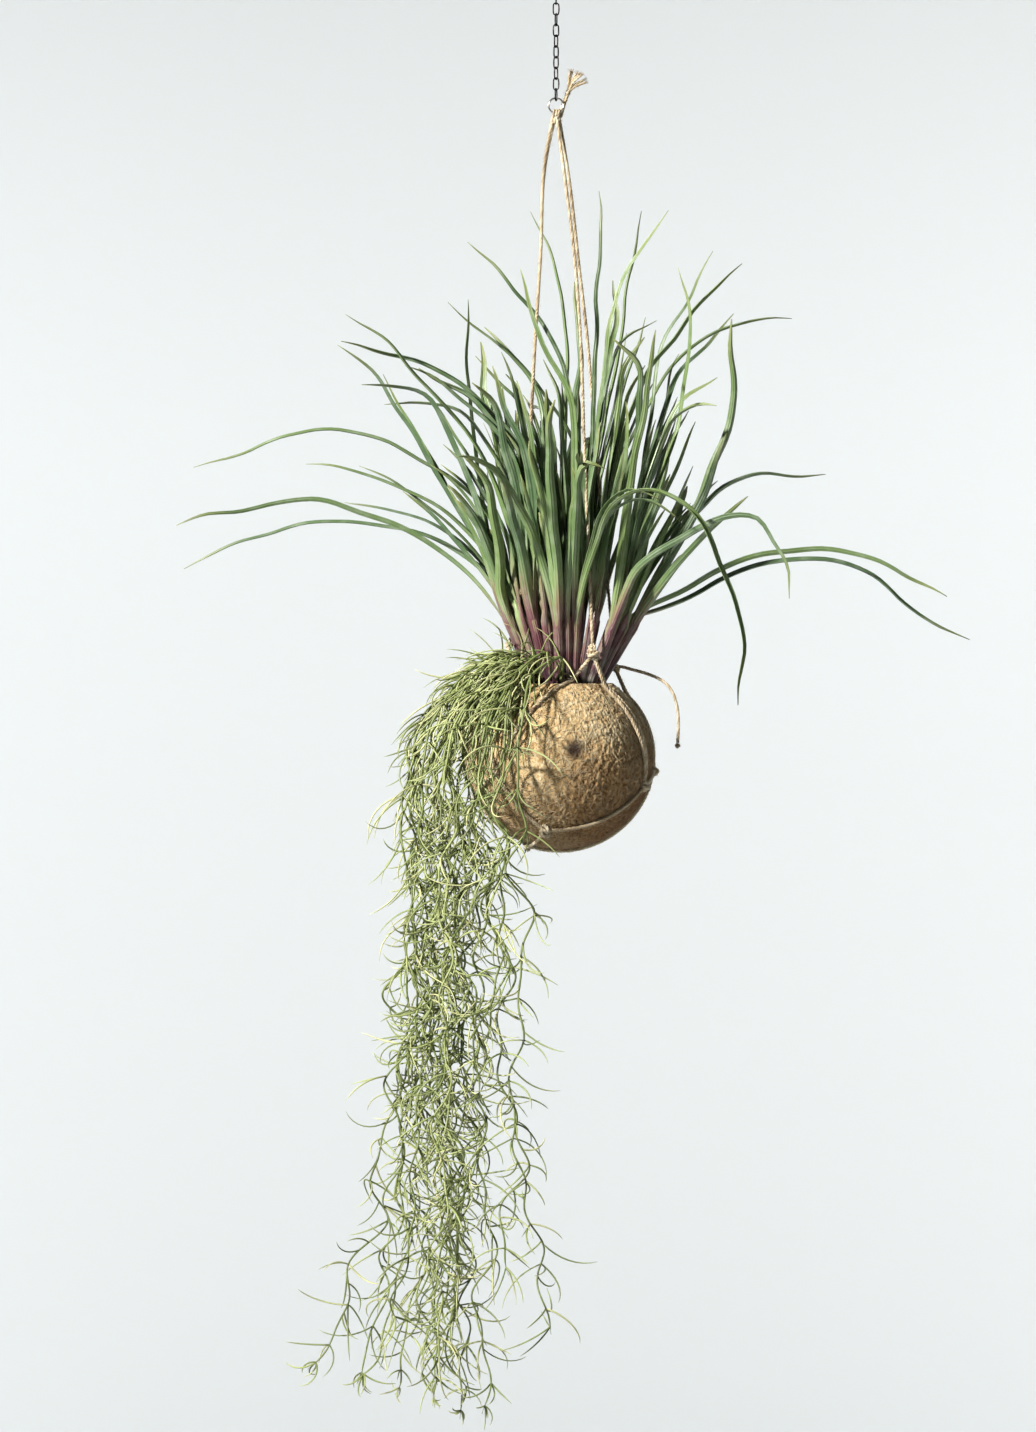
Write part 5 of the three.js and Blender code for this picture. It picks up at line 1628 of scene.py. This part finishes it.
@dataclass
class Needles(Shape):
    """Stems and the whorls of curled needles round them, grown into one piece clear of the ball."""

    stem_radius: Range = (0.0009, 0.00066)
    stem_share: float = 0.22
    stem_step: float = 0.003
    knot_length: float = 0.0016
    needle_radius: float = 0.00068
    needle_length: Range = (0.02, 0.045)
    needle_steps: int = 9
    whorl: tuple[int, int] = (1, 2)
    curl: Range = (0.5, 1.9)
    flow: Place = (-0.35, -0.1, -0.75)
    waves: tuple[Range, ...] = ((0.085, 0.0045), (0.047, 0.0026))
    ball: Planter = field(default_factory=Planter)

    def grow(self, strand: Strand) -> None:
        """Add a strand's stem and whorls.

        Args:
            strand: what to grow.
        """
        rng = self.rng
        phase = rng.uniform(*PHASE, (len(self.waves), 2))
        joints = self.swung(strand.joints, phase)
        knots = run_of(joints)
        count = max(12, round(knots[-1] / self.stem_step))
        line = self.ball.clear(self.swung(smooth(strand.joints, count), phase), 0.0015)
        ahead, side, _ = transported(line)
        run = run_of(line)
        off_knot = np.abs(run[:, None] - knots[None, 1:-1]).min(axis=1)
        swell = np.exp(-((off_knot / self.knot_length) ** 2))
        radii = np.interp(run, (0, knots[-1]), self.stem_radius) * (1 + 0.25 * swell)
        radii = radii * np.clip((run[-1] - run) / 0.012, 0.25, 1)
        tone = np.full(1, rng.uniform(0.1, 0.7))
        self.tubes(line[None], radii, 7, side[None], tone, share=self.stem_share)
        packed = len(strand.needles) > 0
        if packed:
            foot, middle, tip = (self.swung(strand.needles[:, k], phase) for k in range(3))
            lean = np.array(self.flow) * np.clip(1 - (CROWN[2] - foot[:, 2:]) / 0.03, 0, 1)
            self.claws(foot, unit(unit(middle - foot) + lean), unit(unit(tip - middle) + lean))
        at = []
        for knot in knots[1:-1]:
            near = int(np.argmin(np.abs(run - knot)))
            many = rng.integers(self.whorl[0], self.whorl[1] + 1) + (0 if packed else 1)
            at.extend(np.clip(near + rng.integers(-1, 2, many), 1, len(line) - 2))
        at.extend([len(line) - 3] * int(rng.integers(3, 6)))
        self.scatter(line[at], ahead[at])

    def swung(self, points: Line, phase: np.ndarray) -> Line:
        """Swing points sideways by how far they hang, so that a strand and its needles go together.

        Args:
            points: the points.
            phase: where each wave starts, across and in depth.

        Returns:
            The points with the waves added.
        """
        drop = CROWN[2] - points[:, 2]
        strength = np.clip((drop - 0.02) / 0.08, 0, 1)
        moved = points.copy()
        for (length, size), start in zip(self.waves, phase, strict=True):
            for axis in (0, 1):
                moved[:, axis] += size * strength * np.sin(TAU * drop / length + start[axis])
        return moved

    def scatter(self, foot: Line, ahead: Line) -> None:
        """Add curved needles along a stem, calmer and more alike near the crown.

        Args:
            foot: where they grow (n, 3).
            ahead: the stem's headings there.
        """
        rng, count = self.rng, len(foot)
        out = self.sideways(ahead)
        calm = np.clip(0.95 - (CROWN[2] - foot[:, 2:]) / 0.2, 0.12, 0.85)
        flow = np.array(self.flow) * calm
        start = unit(out + ahead * (rng.uniform(0.1, 1.3, (count, 1)) + calm) + flow * 0.5)
        free = out * rng.normal(0.2, 1, (count, 1)) - ahead * rng.uniform(-0.6, 1.2, (count, 1))
        end = unit(start + free * (1 - calm) + flow * rng.uniform(0.2, 1.6, (count, 1)))
        self.claws(foot, start, end)

    def claws(self, foot: Line, start: Line, end: Line) -> None:
        """Add tapered needles that curl from one heading past another; the lowest are shorter.

        Args:
            foot: where they grow (n, 3).
            start: the headings that they leave with.
            end: headings on the side that they curl to.
        """
        rng, count, steps = self.rng, len(foot), self.needle_steps
        axis = square(np.cross(start, end) + rng.normal(0, 0.15, (count, 3)), start)
        swing = np.cross(axis, start)
        room = np.clip((foot[:, 2] - CAD_BOX[0][2] + 0.012) / 0.06, 0.3, 1)
        long = (rng.uniform(*self.needle_length, count) * room)[:, None, None]
        curl = rng.uniform(*self.curl, count)[:, None, None]
        t = ((np.arange(steps - 1) + 0.5) / (steps - 1))[None, :, None]
        turn = curl * t**1.2 - 0.2 * curl
        ways = start[:, None] * np.cos(turn) + swing[:, None] * np.sin(turn)
        travelled = np.cumsum(ways, axis=1) * long / (steps - 1)
        lines = np.concatenate([foot[:, None], foot[:, None] + travelled], axis=1)
        size = np.interp(np.linspace(0, 1, steps), (0, 0.3, 0.7, 0.92, 1), (0.9, 1, 0.82, 0.5, 0.16))
        radii = self.needle_radius * size * rng.uniform(0.78, 1.08, (count, 1))
        self.tubes(self.ball.clear(lines, 0.001), radii, 5, axis, rng.random(count))


@dataclass
class TrailingSpray:
    """The trailing strands with their whorls, more strands between them, and sprigs on the rim."""

    strands: int = 10
    stem_corner: float = 0.00086
    extra: int = 2
    extra_joint: float = 0.022
    extra_steps: int = 60
    sway: float = 0.011
    gather: float = -0.078
    sprig_count: int = 24
    sprig_bearings: Range = (145, 250)
    sprig_joint: float = 0.011
    ball: Planter = field(default_factory=Planter)

    def build(self) -> None:
        """Grow every strand, and the sprigs on the crown."""
        names = [f"trailing_strand_{number:02d}" for number in range(1, self.strands + 1)]
        found = [self.read(name) for name in names]
        for index, (name, strand) in enumerate(zip(names, found, strict=True)):
            piece = Needles(300 + index)
            piece.grow(strand)
            for _ in range(self.extra if index < len(found) - 2 else 0):
                piece.grow(self.between(strand, found[index + 1], piece.rng))
            piece.settle(f"{name}_needles", SprayNeedle(), name)
        self.sprigs()

    def read(self, node: str) -> Strand:
        """Read a packed strand.

        Args:
            node: its name.

        Returns:
            Its stem and needles.
        """
        skin = Skin(node)
        tips, stem_end = [], -1
        for tip in skin.tips():
            spots = skin.points[sorted(skin.near[tip])]
            if np.linalg.norm(spots - spots.mean(axis=0), axis=1).mean() > self.stem_corner:
                stem_end = tip
            else:
                tips.append(tip)
        known: set[int] = {stem_end, *tips}
        needles = []
        for tip in tips:
            ring = set(skin.near[tip])
            known |= ring
            needles.append((skin.middle(skin.beyond(ring, {tip})), skin.middle(ring), skin.points[tip]))
        rings = [skin.middle(ring) for ring in skin.rings(stem_end, known)]
        joints = [(rings[i] + rings[i + 1]) / 2 for i in range(0, len(rings) - 2, 2)]
        return Strand(np.array([skin.points[stem_end], *joints, *rings[-2:]])[::-1], np.array(needles))

    def between(self, one: Strand, other: Strand, rng: np.random.Generator) -> Strand:
        """Draw a strand that hangs between two others.

        Args:
            one: a strand.
            other: its neighbour.
            rng: where its sway and length are drawn from.

        Returns:
            The new strand.
        """
        count = self.extra_steps
        w = rng.uniform(0.2, 0.8)
        line = smooth(one.joints, count) * w + smooth(other.joints, count) * (1 - w)
        share = np.linspace(0, 1, count)[:, None]
        sway = np.zeros((count, 3))
        for waves in (2.5, 5.0, 9.0):
            turn = share * waves * 2 * np.pi + rng.uniform(*PHASE, 3)
            sway += np.sin(turn) * np.array((1, 0.9, 0.2)) / waves**0.7
        line = line + sway * self.sway * np.clip(share * 3 - 0.12, 0, 1)
        aside = np.array((rng.normal(0, 0.008), rng.normal(0, 0.007), 0))
        line = line + aside * np.clip(share * 4 - 0.3, 0, 1)
        line[:, 0] += (self.gather - line[:, 0]) * 0.26 * np.clip(share[:, 0] * 1.6 - 0.5, 0, 1)
        keep = max(12, round(count * min(1.0, rng.uniform(0.64, 1.2))))
        line = self.ball.clear(line[:keep], 0.0035)
        return Strand(smooth(line, max(5, round(run_of(line)[-1] / self.extra_joint))))

    def sprigs(self) -> None:
        """Heap short sprigs over the left of the crown, where the strands come up."""
        piece = Needles(41)
        rng = piece.rng
        for _ in range(self.sprig_count):
            turn = math.radians(rng.uniform(*self.sprig_bearings))
            way = np.array((math.cos(turn), math.sin(turn), 0.0))
            reach, far = rng.uniform(16, 30), rng.uniform(14, 40)
            rise, drop = rng.uniform(5, 17), rng.uniform(6, 36)
            flow = np.array((-0.5, -0.1, 0.0)) * rng.uniform(0, 24)
            foot = way * reach + np.array((0, 0, -5.0))
            crest = foot + way * far * 0.5 + flow * 0.4 + np.array((0, rng.normal(0, 4), rise))
            end = foot + way * far + flow + np.array((rng.normal(0, 5), rng.normal(0, 5), rise - drop))
            line = smooth(planted([foot, (foot + crest) / 2 + way * 0.5, crest, end]), 30)
            line = self.ball.clear(line, 0.003)
            piece.grow(Strand(smooth(line, max(4, round(run_of(line)[-1] / self.sprig_joint)))))
        piece.settle("crown_sprigs", SprayNeedle())


def main() -> None:
    """Build the scene: the camera and the free cord first, then each sub-assembly in order."""
    logging.basicConfig(level=logging.INFO, format="%(message)s")
    studio = Studio()
    studio.camera()
    LooseTail().build()
    studio.lights()
    studio.ground()
    hardware = Hardware()
    hardware.top_ring()
    hardware.chain()
    hardware.split_ring()
    hanger = TwineHanger()
    hanger.hitch()
    hanger.hang()
    hanger.net()
    planter = Planter()
    planter.ball()
    planter.soil()
    GrassClump().build()
    TrailingSpray().build()


if __name__ == "__main__":
    main()
